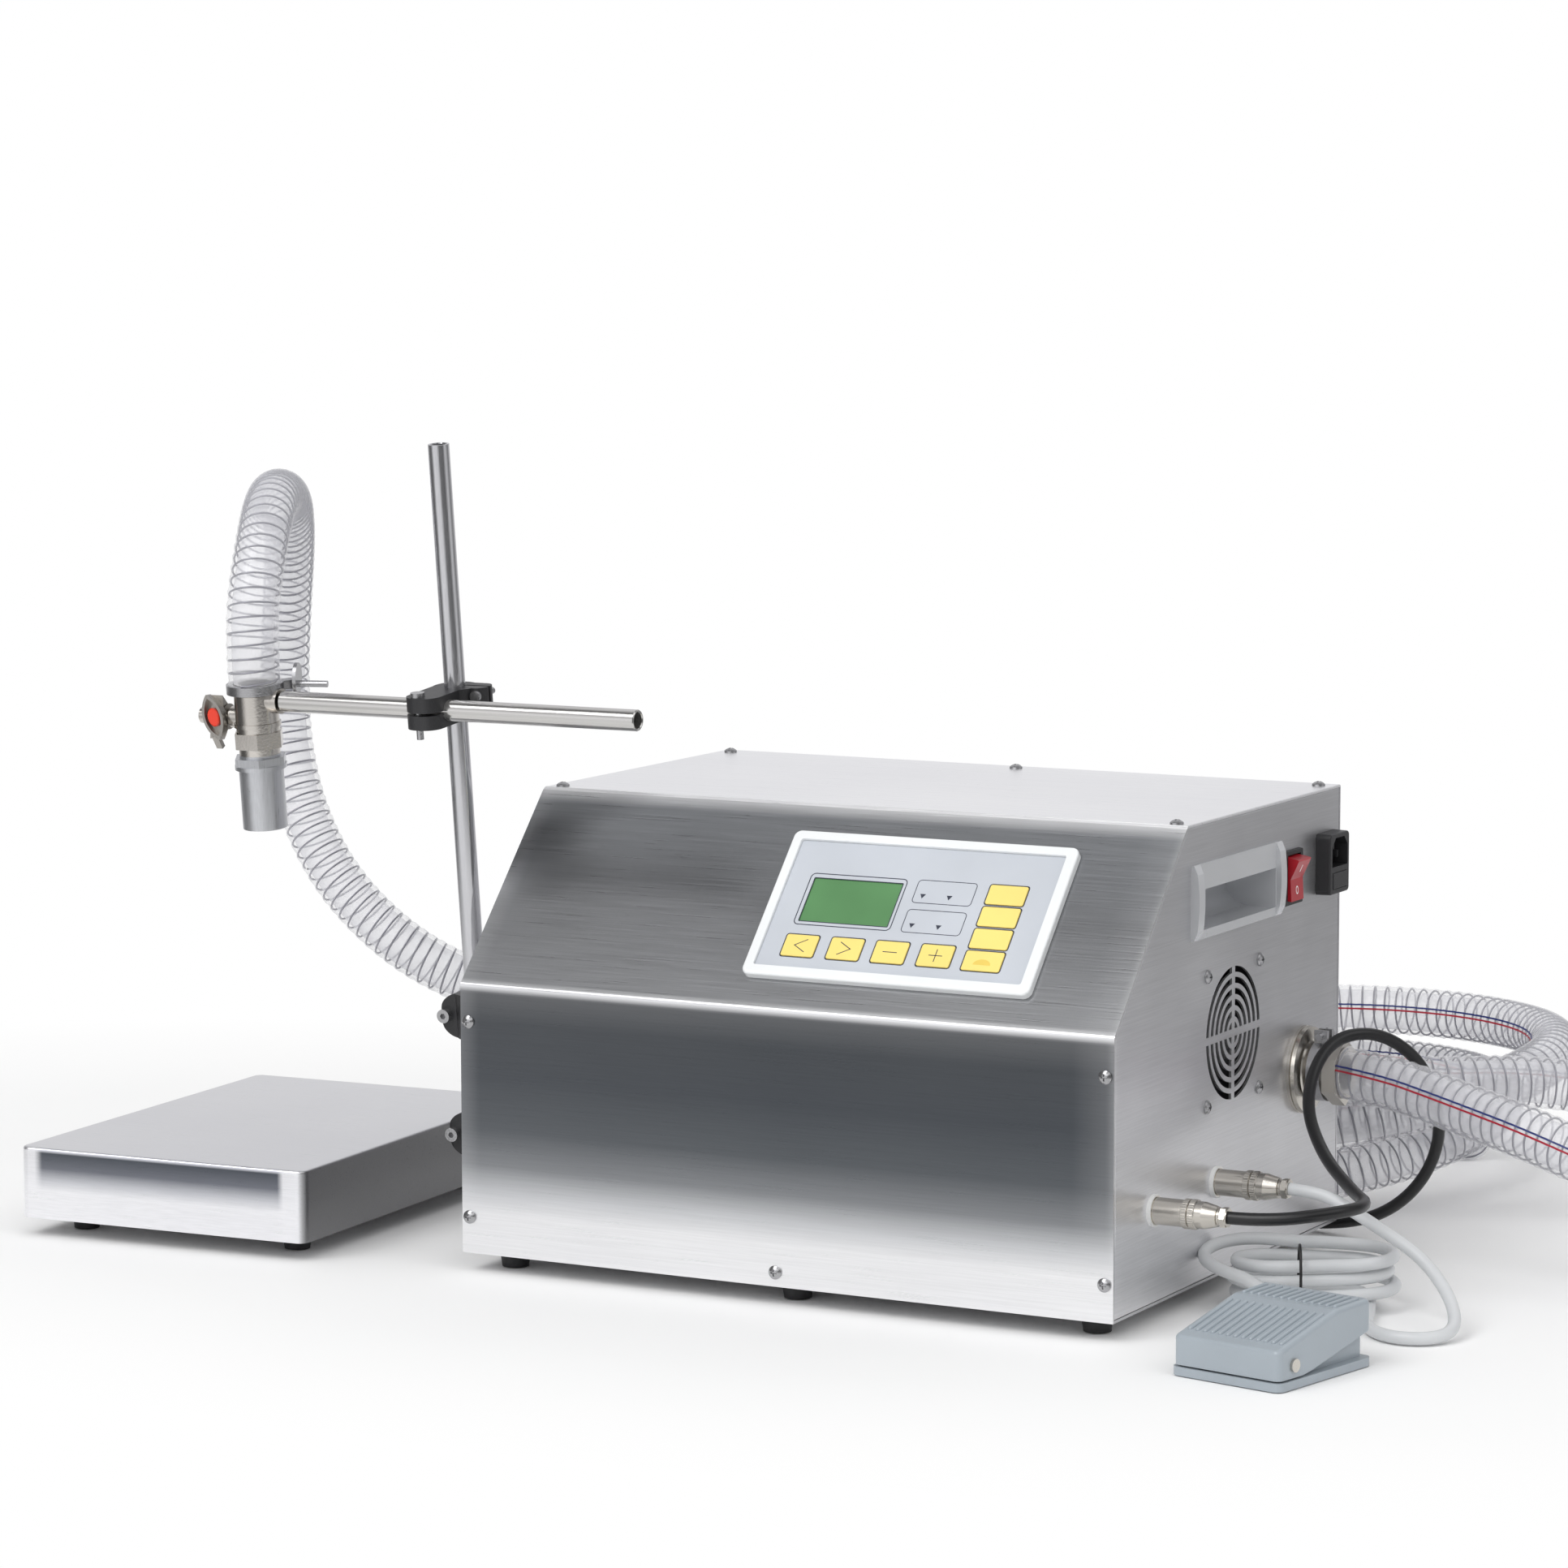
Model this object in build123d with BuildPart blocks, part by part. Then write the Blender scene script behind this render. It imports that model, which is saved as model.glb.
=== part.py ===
from build123d import *
import os
from math import atan2, cos, degrees, pi, radians, sin, tan

# Semi-automatic liquid filler: a stainless pump cabinet with a sloped keypad, a leaning rod
# stand that carries the filling head, a weighing platform, a foot pedal and two hoses.
# House coordinates: x to the right, y to the back, z up from the underside of the cabinet,
# all measured from its front left corner. spot() turns them into the part's own frame,
# whose origin lies under the middle of the whole machine, on the table.

# Cabinet
WIDTH = 400.0
DEPTH = 308.0
HEIGHT = 253.0
FRONT_HEIGHT = 152.0
SETBACK = 93.0
SHEET = 1.5
FLANGE = 12.0
FOOT_HEIGHT = 10.0
LEFT = -120.8
FRONT = -121.7

# Keypad on the slope, measured along the slope from its lower edge
PAD_WIDTH = 173.0
PAD_LENGTH = 96.5
PAD_X = 258.5
PAD_UP = 67.7
PAD_HEIGHT = 4.6
BEZEL = 6.0
MEMBRANE_TOP = 3.0
MEMBRANE_LOW = 1.0
KEY_PROUD = 0.5
KEY_TRAVEL = 0.4
KEY_GAP = 0.35
FRONT_KEY = (19.5, 14.0)
SIDE_KEY = (22.5, 12.6)
DISPLAY = (54.4, 29.1)
DISPLAY_AT = (221.4, 71.1)

# Right wall, as depth and height
FAN_AT = (156.0, 132.0)
FAN_SIZE = 80.0
FAN_PITCH = 71.5
FAN_DEPTH = 25.0
SLOT = 3.4
RING_STEP = 6.1
RINGS = 6
RIB = 4.2
HANDLE_AT = (157.5, 210.5)
HANDLE = (121.0, 41.0)
SWITCH_AT = (235.5, 208.5)
SWITCH = (25.5, 31.0)
INLET_AT = (286.0, 211.0)
INLET = (29.0, 35.0)
PORT_AT = (256.0, 96.5)
SOCKETS_AT = [(50.0, 52.0), (133.0, 53.0)]

# Stand and filling head
ROD = 12.0
ROD_WALL = 1.5
RUNNING = 0.05
LEAN = 6.2
ROD_X = -22.0
ROD_Y = 34.4
ROD_Z = 300.0
ROD_ABOVE = 152.0
ROD_BELOW = 297.0
ARM_Y = 12.6
ARM_Z = 303.3
ARM_LEFT = -127.0
ARM_RIGHT = 108.0
HEAD_X = -142.4
BORE = 22.0

# Hoses and cables
HOSE = 31.0
CABLE = 7.0

# Weighing platform and foot pedal, both turned a little on the table
SCALE_CORNER = (-280.0, -34.0)
SCALE_TURN = 3.0
SCALE_WIDTH = 190.0
SCALE_DEPTH = 267.0
SCALE_HEIGHT = 41.6
PEDAL_CORNER = (455.2, -50.9)
PEDAL_TURN = -12.0
PEDAL_WIDTH = 68.0
PEDAL_DEPTH = 84.0

ANGLE = degrees(atan2(HEIGHT - FRONT_HEIGHT, SETBACK))
X_AXIS, Y_AXIS, Z_AXIS = (1, 0, 0), (0, 1, 0), (0, 0, 1)


def spot(x, y, z=0.0):
    """A point given in house coordinates, in the part's own frame."""
    return Vector(LEFT + x, FRONT + y, FOOT_HEIGHT + z)


def across(x):
    """The upright plane that cuts the cabinet at x: sketch x is depth and sketch y is height."""
    return Plane(origin=spot(x, 0), x_dir=Y_AXIS, z_dir=X_AXIS)


def facing(y):
    """The upright plane at depth y that faces the front: sketch x is width, sketch y height."""
    return Plane(origin=spot(0, y), x_dir=X_AXIS, z_dir=(0, -1, 0))


def level(z):
    """The level plane at height z, with house x and y."""
    return Plane(origin=spot(0, 0, z), x_dir=X_AXIS, z_dir=Z_AXIS)


def on_slope(rise):
    """The plane that lies on the sloped panel, raised by rise."""
    up = (0, -sin(radians(ANGLE)), cos(radians(ANGLE)))
    return Plane(origin=spot(0, 0, FRONT_HEIGHT), x_dir=X_AXIS, z_dir=up).offset(rise)


def on_rod(rise):
    """The plane square to the leaning rod, rise above the cross clamp, centred on the rod."""
    up = (0, -sin(radians(LEAN)), cos(radians(LEAN)))
    return Plane(origin=spot(ROD_X, ROD_Y, ROD_Z), x_dir=X_AXIS, z_dir=up).offset(rise)


def on_head(rise):
    """The plane square to the nozzle's axis, rise above the arm's axis."""
    up = (0, -sin(radians(LEAN)), cos(radians(LEAN)))
    return Plane(origin=spot(HEAD_X, ARM_Y, ARM_Z), x_dir=X_AXIS, z_dir=up).offset(rise)


def slope_depth(z, inset):
    """Depth of the sloped sheet at height z, moved in by inset."""
    lean = radians(ANGLE)
    return (z - FRONT_HEIGHT + inset / cos(lean)) / tan(lean)


def slope_height(y, inset):
    """Height of the sloped sheet at depth y, moved in by inset."""
    lean = radians(ANGLE)
    return FRONT_HEIGHT + y * tan(lean) - inset / cos(lean)


def side_outline(inset):
    """The five corners of the cabinet's side, moved in by inset."""
    top = HEIGHT - inset
    return [
        (inset, inset),
        (DEPTH - inset, inset),
        (DEPTH - inset, top),
        (slope_depth(top, inset), top),
        (inset, slope_height(inset, inset)),
    ]


def finish(builder, name):
    """Label the finished piece and write it to its own file."""
    builder.part.label = name
    export_step(builder.part, f"parts/{name}.step")


os.makedirs("parts", exist_ok=True)

# Pan-head screws: every place is a plane whose normal points out of the sheet
SCREW_SHANK = 1.9
SCREW_HEAD = 3.8
SIDE_X = (5.0, WIDTH - 5.0)
front_screws = [Plane(spot(x, 0, z), z_dir=(0, -1, 0)) for x in SIDE_X for z in (20.5, 131.0)]
front_screws.append(Plane(spot(199, 0, 8), z_dir=(0, -1, 0)))
back_screws = [Plane(spot(x, DEPTH, z), z_dir=Y_AXIS) for x in SIDE_X for z in (20.5, 232.0)]
back_screws.append(Plane(spot(199, DEPTH, 8), z_dir=Y_AXIS))
top_screws = [Plane(spot(x, 98.5, HEIGHT), z_dir=Z_AXIS) for x in (9.0, WIDTH - 9.0)]
top_screws += [Plane(spot(x, 297, HEIGHT), z_dir=Z_AXIS) for x in (9.0, 200.0, WIDTH - 9.0)]
fan_screws = [
    Plane(spot(WIDTH, FAN_AT[0] + dy * FAN_PITCH / 2, FAN_AT[1] + dz * FAN_PITCH / 2), z_dir=X_AXIS)
    for dy in (-1, 1)
    for dz in (-1, 1)
]


def drill(places, depth):
    """Screw holes at the places, inside the part that is being built."""
    with Locations(*places):
        Cylinder(SCREW_SHANK, 2 * depth, mode=Mode.SUBTRACT)


def side_pan(x, inward):
    """A side panel without its cut-outs: a sheet with a flange bent in all round it."""
    with BuildPart() as pan:
        with BuildSketch(across(x)):
            with BuildLine():
                Polyline(*side_outline(SHEET), close=True)
            make_face()
        extrude(amount=inward * (SHEET + FLANGE))
        rim = pan.faces().sort_by(Axis.X)[0 if inward > 0 else -1]
        fillet(rim.edges(), SHEET * 0.7)
        with BuildSketch(across(x + inward * SHEET)):
            with BuildLine():
                Polyline(*side_outline(2 * SHEET), close=True)
            make_face()
        extrude(amount=inward * FLANGE, mode=Mode.SUBTRACT)
    return pan.part


with BuildPart() as base_tray:
    with BuildSketch(level(0)):
        with Locations((WIDTH / 2, DEPTH / 2)):
            Rectangle(WIDTH, DEPTH - 2 * SHEET)
    extrude(amount=SHEET)
    for y in (SHEET, DEPTH - 2 * SHEET):
        with BuildSketch(facing(y + SHEET)):
            with Locations((WIDTH / 2, SHEET + FLANGE / 2)):
                Rectangle(WIDTH - 2 * (SHEET + FLANGE + 1), FLANGE)
        extrude(amount=SHEET)
    drill([front_screws[-1], back_screws[-1]], 4 * SHEET)
finish(base_tray, "base_tray")

with BuildPart() as left_side_panel:
    add(side_pan(0, 1))
    drill(front_screws[:2] + back_screws[:2] + top_screws[:1] + top_screws[2:3], 4 * SHEET)
    with BuildSketch(across(0)):
        with Locations(PORT_AT):
            Circle(14)
    extrude(amount=SHEET, mode=Mode.SUBTRACT)
finish(left_side_panel, "left_side_panel")

with BuildPart() as right_side_panel:
    add(side_pan(WIDTH, -1))
    drill(front_screws[2:4] + back_screws[2:4] + top_screws[1:2] + top_screws[4:], 4 * SHEET)
    drill(fan_screws, 2 * SHEET)
    with BuildSketch(across(WIDTH)):
        with Locations(PORT_AT):
            Circle(14)
        with Locations(*SOCKETS_AT):
            Circle(6.4)
        with Locations(HANDLE_AT):
            Rectangle(HANDLE[0] - 5, HANDLE[1] - 5)
        with Locations(SWITCH_AT):
            Rectangle(SWITCH[0] - 3.5, SWITCH[1] - 3)
        with Locations(INLET_AT):
            Rectangle(INLET[0] - 3, INLET[1] - 3)
    extrude(amount=-SHEET, mode=Mode.SUBTRACT)
    # The fan grille: rings of arc slots, parted by an upright and a level rib
    with BuildSketch(across(WIDTH)):
        with Locations(FAN_AT):
            for ring in reversed(range(RINGS)):
                radius = RING_STEP * (ring + 0.75)
                Circle(radius + SLOT / 2)
                Circle(radius - SLOT / 2, mode=Mode.SUBTRACT)
            Rectangle(RIB, 2 * FAN_SIZE, mode=Mode.SUBTRACT)
            Rectangle(2 * FAN_SIZE, RIB, mode=Mode.SUBTRACT)
    extrude(amount=-SHEET, mode=Mode.SUBTRACT)
finish(right_side_panel, "right_side_panel")

# The front is one sheet, bent at the foot of the slope, with a lip that goes under the cover
UNDER_TOP = HEIGHT - SHEET
with BuildPart() as front_panel:
    with BuildSketch(across(0)):
        with BuildLine():
            Polyline(
                (0, 0),
                (SHEET, 0),
                (SHEET, slope_height(SHEET, SHEET)),
                (slope_depth(UNDER_TOP, SHEET), UNDER_TOP),
                (slope_depth(UNDER_TOP, 0), UNDER_TOP),
                (0, FRONT_HEIGHT),
                close=True,
            )
        make_face()
    extrude(amount=WIDTH)
    fold = front_panel.edges().filter_by(Axis.X).group_by(Axis.Y)[0].sort_by(Axis.Z)[-1]
    fillet(fold, 2 * SHEET)
    with BuildSketch(across(SHEET + FLANGE + 1)):
        with BuildLine():
            Polyline(
                (slope_depth(UNDER_TOP - SHEET, SHEET / 2), UNDER_TOP - SHEET),
                (slope_depth(UNDER_TOP - SHEET, SHEET) + FLANGE, UNDER_TOP - SHEET),
                (slope_depth(UNDER_TOP - SHEET, SHEET) + FLANGE, UNDER_TOP),
                (slope_depth(UNDER_TOP, SHEET / 2), UNDER_TOP),
                close=True,
            )
        make_face()
    extrude(amount=WIDTH - 2 * (SHEET + FLANGE + 1))
    with BuildSketch(on_slope(SHEET)):
        with Locations((PAD_X, PAD_UP)):
            Rectangle(PAD_WIDTH - 24, PAD_LENGTH - 24)
    extrude(amount=-4 * SHEET, mode=Mode.SUBTRACT)
    drill(front_screws, 3 * SHEET)
finish(front_panel, "front_panel")

COVER_GAP = 0.4
with BuildPart() as top_cover:
    with BuildSketch(across(0)):
        with BuildLine():
            Polyline(
                (slope_depth(UNDER_TOP, 0) + COVER_GAP, UNDER_TOP),
                (DEPTH, UNDER_TOP),
                (DEPTH, HEIGHT),
                (SETBACK + COVER_GAP, HEIGHT),
                close=True,
            )
        make_face()
    extrude(amount=WIDTH)
    rim = top_cover.faces().sort_by(Axis.Z)[-1]
    fillet(rim.edges().filter_by(Axis.Y), SHEET * 0.6)
    drill(top_screws, 3 * SHEET)
finish(top_cover, "top_cover")

with BuildPart() as back_panel:
    with BuildSketch(facing(DEPTH)):
        with Locations((WIDTH / 2, UNDER_TOP / 2)):
            Rectangle(WIDTH, UNDER_TOP)
    extrude(amount=SHEET)
    with BuildSketch(level(UNDER_TOP - SHEET)):
        with Locations((WIDTH / 2, DEPTH - SHEET - FLANGE / 2)):
            Rectangle(WIDTH - 2 * (SHEET + FLANGE + 1), FLANGE)
    extrude(amount=SHEET)
    drill(back_screws + [top_screws[3]], 4 * SHEET)
finish(back_panel, "back_panel")

SCREW_RIM, SCREW_TALL = 0.9, 2.6
SCREW_RISE = SCREW_TALL - SCREW_RIM
SCREW_DOME = (SCREW_HEAD**2 + SCREW_RISE**2) / (2 * SCREW_RISE)
with BuildPart() as pan_screw:
    with BuildSketch(Plane.XZ):
        with BuildLine():
            Polyline(
                (0, -4.4),
                (SCREW_SHANK, -4.4),
                (SCREW_SHANK, 0),
                (SCREW_HEAD, 0),
                (SCREW_HEAD, SCREW_RIM),
            )
            RadiusArc((SCREW_HEAD, SCREW_RIM), (0, SCREW_TALL), -SCREW_DOME)
            Line((0, SCREW_TALL), (0, -4.4))
        make_face()
    revolve(axis=Axis.Z)
    # The cross recess
    with BuildSketch(Plane.XY.offset(SCREW_TALL)):
        Rectangle(SCREW_HEAD, 0.9)
        Rectangle(0.9, SCREW_HEAD)
    extrude(amount=-1.3, mode=Mode.SUBTRACT)

with BuildPart() as panel_screws:
    with Locations(*front_screws, *back_screws, *top_screws, *fan_screws):
        add(pan_screw.part)

# Feet of the cabinet and of the platform
FOOT_RADIUS = 9.0
scale_plane = Plane(spot(*SCALE_CORNER)).rotated((0, 0, SCALE_TURN))
SCALE_FEET_IN = (24.0, 33.0)
with BuildPart() as rubber_feet:
    with BuildSketch(level(0)):
        with Locations(*[(x, y) for x in (20, WIDTH / 2, WIDTH - 20) for y in (24, DEPTH - 24)]):
            Circle(FOOT_RADIUS)
    extrude(amount=-FOOT_HEIGHT, taper=8)
    with BuildSketch(scale_plane.offset(1)):
        for u in (SCALE_FEET_IN[0], SCALE_WIDTH - SCALE_FEET_IN[0]):
            with Locations((u, SCALE_FEET_IN[1]), (u, SCALE_DEPTH - SCALE_FEET_IN[1])):
                Circle(FOOT_RADIUS - 0.5)
    extrude(amount=-FOOT_HEIGHT - 1, taper=6)
finish(rubber_feet, "rubber_feet")

# Keypad: a moulded tray, the membrane that lies in it, the display's window and eight keys
with BuildPart() as keypad_frame:
    with BuildSketch(on_slope(0)):
        with Locations((PAD_X, PAD_UP)):
            RectangleRounded(PAD_WIDTH, PAD_LENGTH, 4.5)
    extrude(amount=PAD_HEIGHT)
    top_edges = keypad_frame.faces().sort_by(Axis(spot(0, 0), on_slope(0).z_dir))[-1].edges()
    fillet(top_edges, 1.6)
    with BuildSketch(on_slope(MEMBRANE_LOW)):
        with Locations((PAD_X, PAD_UP)):
            RectangleRounded(PAD_WIDTH - 2 * BEZEL, PAD_LENGTH - 2 * BEZEL, 1.5)
    extrude(amount=PAD_HEIGHT, mode=Mode.SUBTRACT)
finish(keypad_frame, "keypad_frame")

KEY_ROW = [201.1, 228.7, 255.9, 283.3]
KEY_COLUMN = [82.4, 68.0, 53.6, 39.2]
row_keys = ["key_left", "key_right", "key_minus", "key_plus"]
column_keys = ["key_mode", "key_set", "key_count", "key_start"]
keys = [(name, (x, 40.4), FRONT_KEY) for name, x in zip(row_keys, KEY_ROW)]
keys += [(name, (311.8, up), SIDE_KEY) for name, up in zip(column_keys, KEY_COLUMN)]
with BuildPart() as keypad_membrane:
    with BuildSketch(on_slope(MEMBRANE_LOW)):
        with Locations((PAD_X, PAD_UP)):
            RectangleRounded(PAD_WIDTH - 2 * BEZEL - 0.3, PAD_LENGTH - 2 * BEZEL - 0.3, 1.4)
        with Locations(DISPLAY_AT):
            Rectangle(*DISPLAY, mode=Mode.SUBTRACT)
        for name, place, size in keys:
            with Locations(place):
                Rectangle(size[0] + 2 * KEY_GAP, size[1] + 2 * KEY_GAP, mode=Mode.SUBTRACT)
    extrude(amount=MEMBRANE_TOP - MEMBRANE_LOW)
finish(keypad_membrane, "keypad_membrane")

with BuildPart() as display_window:
    with BuildSketch(on_slope(MEMBRANE_LOW)):
        with Locations(DISPLAY_AT):
            Rectangle(DISPLAY[0] - 0.2, DISPLAY[1] - 0.2)
    extrude(amount=MEMBRANE_TOP - MEMBRANE_LOW - 0.4)
finish(display_window, "display_window")

for name, place, size in keys:
    with BuildPart() as key:
        with BuildSketch(on_slope(MEMBRANE_LOW + KEY_TRAVEL + 0.1)):
            with Locations(place):
                RectangleRounded(size[0], size[1], 1.2)
        extrude(amount=MEMBRANE_TOP + KEY_PROUD - MEMBRANE_LOW - KEY_TRAVEL - 0.1)
        top_edges = key.faces().sort_by(Axis(spot(0, 0), on_slope(0).z_dir))[-1].edges()
        chamfer(top_edges, 0.25)
    finish(key, name)

BOARD_DROP = 14.0
with BuildPart() as control_board:
    with BuildSketch(on_slope(-BOARD_DROP)):
        with Locations((PAD_X, PAD_UP)):
            Rectangle(PAD_WIDTH - 30, PAD_LENGTH - 34)
    extrude(amount=1.6)
    with BuildSketch(on_slope(1.6 - BOARD_DROP)):
        with Locations(DISPLAY_AT):
            Rectangle(DISPLAY[0] + 8, DISPLAY[1] + 4)
        with Locations((PAD_X + 45, PAD_UP)):
            Rectangle(18, 30)
    extrude(amount=7)
    with BuildSketch(on_slope(-BOARD_DROP + 1.6)):
        with Locations((PAD_X, PAD_UP)):
            with GridLocations(PAD_WIDTH - 38, PAD_LENGTH - 42, 2, 2):
                Circle(2.6)
    extrude(amount=BOARD_DROP - 1.6)
finish(control_board, "control_board")

# Rocker switch. Its paddle turns about a level pin, and rests with the lower half pressed
SWITCH_PROUD = 2.2
PADDLE = (17.6, 12.0)
PIVOT_X = WIDTH + 0.5
ROCK = 11.0
PIN = 1.5
with BuildPart() as rocker_bezel:
    with BuildSketch(across(WIDTH)):
        with Locations(SWITCH_AT):
            RectangleRounded(SWITCH[0], SWITCH[1], 1.2)
    extrude(amount=SWITCH_PROUD, taper=8)
    with BuildSketch(across(WIDTH)):
        with Locations(SWITCH_AT):
            Rectangle(SWITCH[0] - 4, SWITCH[1] - 3.4)
    extrude(amount=-22)
    with BuildSketch(across(WIDTH + SWITCH_PROUD)):
        with Locations(SWITCH_AT):
            Rectangle(PADDLE[0] + 0.8, 2 * PADDLE[1] + 2)
    extrude(amount=-SWITCH_PROUD - 9, mode=Mode.SUBTRACT)
    with BuildSketch(facing(SWITCH_AT[0])):
        with Locations((PIVOT_X, SWITCH_AT[1])):
            Circle(PIN + RUNNING)
    extrude(amount=PADDLE[0] / 2 + 1.1, both=True, mode=Mode.SUBTRACT)
finish(rocker_bezel, "rocker_bezel")

with BuildPart() as rocker_paddle:
    tilted = Plane(spot(PIVOT_X, SWITCH_AT[0], SWITCH_AT[1]), X_AXIS, (0, -1, 0)).rotated((0, ROCK, 0))
    with BuildSketch(tilted):
        with BuildLine():
            Polyline(
                (-3, PADDLE[1]),
                (-6, 0),
                (-3, -PADDLE[1]),
                (6.2, -PADDLE[1]),
                (3.2, 0),
                (6.2, PADDLE[1]),
                close=True,
            )
        make_face()
    extrude(amount=PADDLE[0] / 2, both=True)
    fillet(rocker_paddle.edges().filter_by(Axis.Y).group_by(Axis.X)[-1], 0.8)
    with BuildSketch(tilted):
        Circle(PIN)
    extrude(amount=PADDLE[0] / 2 + 0.9, both=True)
finish(rocker_paddle, "rocker_paddle")

# Power inlet: an appliance coupler with three blades and a fuse drawer under it
INLET_PROUD = 9.0
SOCKET = (22.6, 16.4)
SOCKET_UP = 6.6
DRAWER = (20.0, 9.0)
DRAWER_UP = -9.6
DRAWER_DEPTH = 24.0
socket_at = (INLET_AT[0], INLET_AT[1] + SOCKET_UP)
drawer_at = (INLET_AT[0], INLET_AT[1] + DRAWER_UP)
with BuildPart() as power_inlet:
    with BuildSketch(across(WIDTH)):
        with Locations(INLET_AT):
            RectangleRounded(INLET[0], INLET[1], 3)
    extrude(amount=INLET_PROUD, taper=2)
    fillet(power_inlet.faces().sort_by(Axis.X)[-1].edges(), 1)
    with BuildSketch(across(WIDTH)):
        with Locations(INLET_AT):
            Rectangle(INLET[0] - 3.4, INLET[1] - 3.4)
    extrude(amount=-26)
    with BuildSketch(across(WIDTH + INLET_PROUD)):
        with BuildLine():
            Polyline(
                (socket_at[0] - SOCKET[0] / 2, socket_at[1] - SOCKET[1] / 2),
                (socket_at[0] + SOCKET[0] / 2, socket_at[1] - SOCKET[1] / 2),
                (socket_at[0] + SOCKET[0] / 2, socket_at[1] + SOCKET[1] / 2 - 5),
                (socket_at[0] + SOCKET[0] / 2 - 5, socket_at[1] + SOCKET[1] / 2),
                (socket_at[0] - SOCKET[0] / 2 + 5, socket_at[1] + SOCKET[1] / 2),
                (socket_at[0] - SOCKET[0] / 2, socket_at[1] + SOCKET[1] / 2 - 5),
                close=True,
            )
        make_face()
    extrude(amount=-20, mode=Mode.SUBTRACT)
    with BuildSketch(across(WIDTH - 11)):
        with Locations((socket_at[0], socket_at[1] + 3), (socket_at[0] - 6, socket_at[1] - 2)):
            Rectangle(2, 4)
        with Locations((socket_at[0] + 6, socket_at[1] - 2)):
            Rectangle(2, 4)
    extrude(amount=16)
    with BuildSketch(across(WIDTH + INLET_PROUD)):
        with Locations(drawer_at):
            Rectangle(DRAWER[0] + 0.5, DRAWER[1] + 0.5)
    extrude(amount=-DRAWER_DEPTH - 1, mode=Mode.SUBTRACT)
finish(power_inlet, "power_inlet")

with BuildPart() as fuse_drawer:
    with BuildSketch(across(WIDTH + INLET_PROUD + 0.4)):
        with Locations(drawer_at):
            Rectangle(*DRAWER)
    extrude(amount=-DRAWER_DEPTH)
    fillet(fuse_drawer.faces().sort_by(Axis.X)[-1].edges(), 0.6)
    with BuildSketch(across(WIDTH + INLET_PROUD - 5)):
        with Locations(drawer_at):
            Rectangle(DRAWER[0] - 4, DRAWER[1] + 1)
    extrude(amount=-DRAWER_DEPTH + 9, mode=Mode.SUBTRACT)
finish(fuse_drawer, "fuse_drawer")

# Recessed carrying handle: an extruded aluminium trough between two raised end caps
GRIP_LOW = HANDLE_AT[1] - HANDLE[1] / 2
GRIP_HIGH = HANDLE_AT[1] + HANDLE[1] / 2
CAP = 8.0
POCKET_DEPTH = 30.0
GRIP_LIP, GRIP_TOP = 4.8, 26.8
with BuildPart() as recessed_handle:
    with BuildSketch(across(WIDTH)):
        with Locations(HANDLE_AT):
            RectangleRounded(HANDLE[0], HANDLE[1], 2)
    extrude(amount=2)
    for side in (-1, 1):
        with BuildSketch(facing(HANDLE_AT[0] + side * (HANDLE[0] - CAP) / 2)):
            with BuildLine():
                Polyline(
                    (WIDTH + 4.2, GRIP_HIGH - 5),
                    (WIDTH + 2, GRIP_HIGH),
                    (WIDTH, GRIP_HIGH),
                    (WIDTH, GRIP_LOW),
                    (WIDTH + 2, GRIP_LOW),
                    (WIDTH + 4.2, GRIP_LOW + 5),
                )
                ThreePointArc(
                    (WIDTH + 4.2, GRIP_LOW + 5),
                    (WIDTH + 5.2, HANDLE_AT[1]),
                    (WIDTH + 4.2, GRIP_HIGH - 5),
                )
            make_face()
        extrude(amount=CAP / 2, both=True)
    with BuildSketch(across(WIDTH)):
        with Locations(HANDLE_AT):
            Rectangle(HANDLE[0] - 6, HANDLE[1] - 6)
    extrude(amount=-POCKET_DEPTH - 2)
    with BuildSketch(facing(HANDLE_AT[0])):
        with BuildLine():
            Polyline(
                (WIDTH + 5, GRIP_LOW + GRIP_LIP),
                (WIDTH + 5, GRIP_LOW + GRIP_TOP),
                (WIDTH - 0.5, GRIP_LOW + GRIP_TOP),
                (WIDTH - 5, GRIP_HIGH - 6),
                (WIDTH - 14, GRIP_HIGH - 6),
            )
            TangentArc((WIDTH - 14, GRIP_HIGH - 6), (WIDTH - 14, GRIP_LOW + GRIP_LIP), tangent=(-1, 0))
            Line((WIDTH - 14, GRIP_LOW + GRIP_LIP), (WIDTH + 5, GRIP_LOW + GRIP_LIP))
        make_face()
    extrude(amount=HANDLE[0] / 2 - CAP - 0.5, both=True, mode=Mode.SUBTRACT)
finish(recessed_handle, "recessed_handle")
# Fan behind the grille: a square frame with a hub carried by four arms, and a seven-blade rotor
FAN_FACE = WIDTH - SHEET
FAN_BORE = 76.0
HUB = 15.0
BLADES = 7
with BuildPart() as fan_frame:
    with BuildSketch(across(FAN_FACE)):
        with Locations(FAN_AT):
            RectangleRounded(FAN_SIZE, FAN_SIZE, 4)
            Circle(FAN_BORE / 2, mode=Mode.SUBTRACT)
            with GridLocations(FAN_PITCH, FAN_PITCH, 2, 2):
                Circle(SCREW_SHANK, mode=Mode.SUBTRACT)
    extrude(amount=-FAN_DEPTH)
    with BuildSketch(across(FAN_FACE - FAN_DEPTH)):
        with Locations(FAN_AT):
            Circle(HUB)
            Rectangle(FAN_BORE + 1, 5)
            Rectangle(5, FAN_BORE + 1)
    extrude(amount=3)
    with BuildSketch(across(FAN_FACE - FAN_DEPTH + 3)):
        with Locations(FAN_AT):
            Circle(2)
    extrude(amount=10)
finish(fan_frame, "fan_frame")

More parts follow.
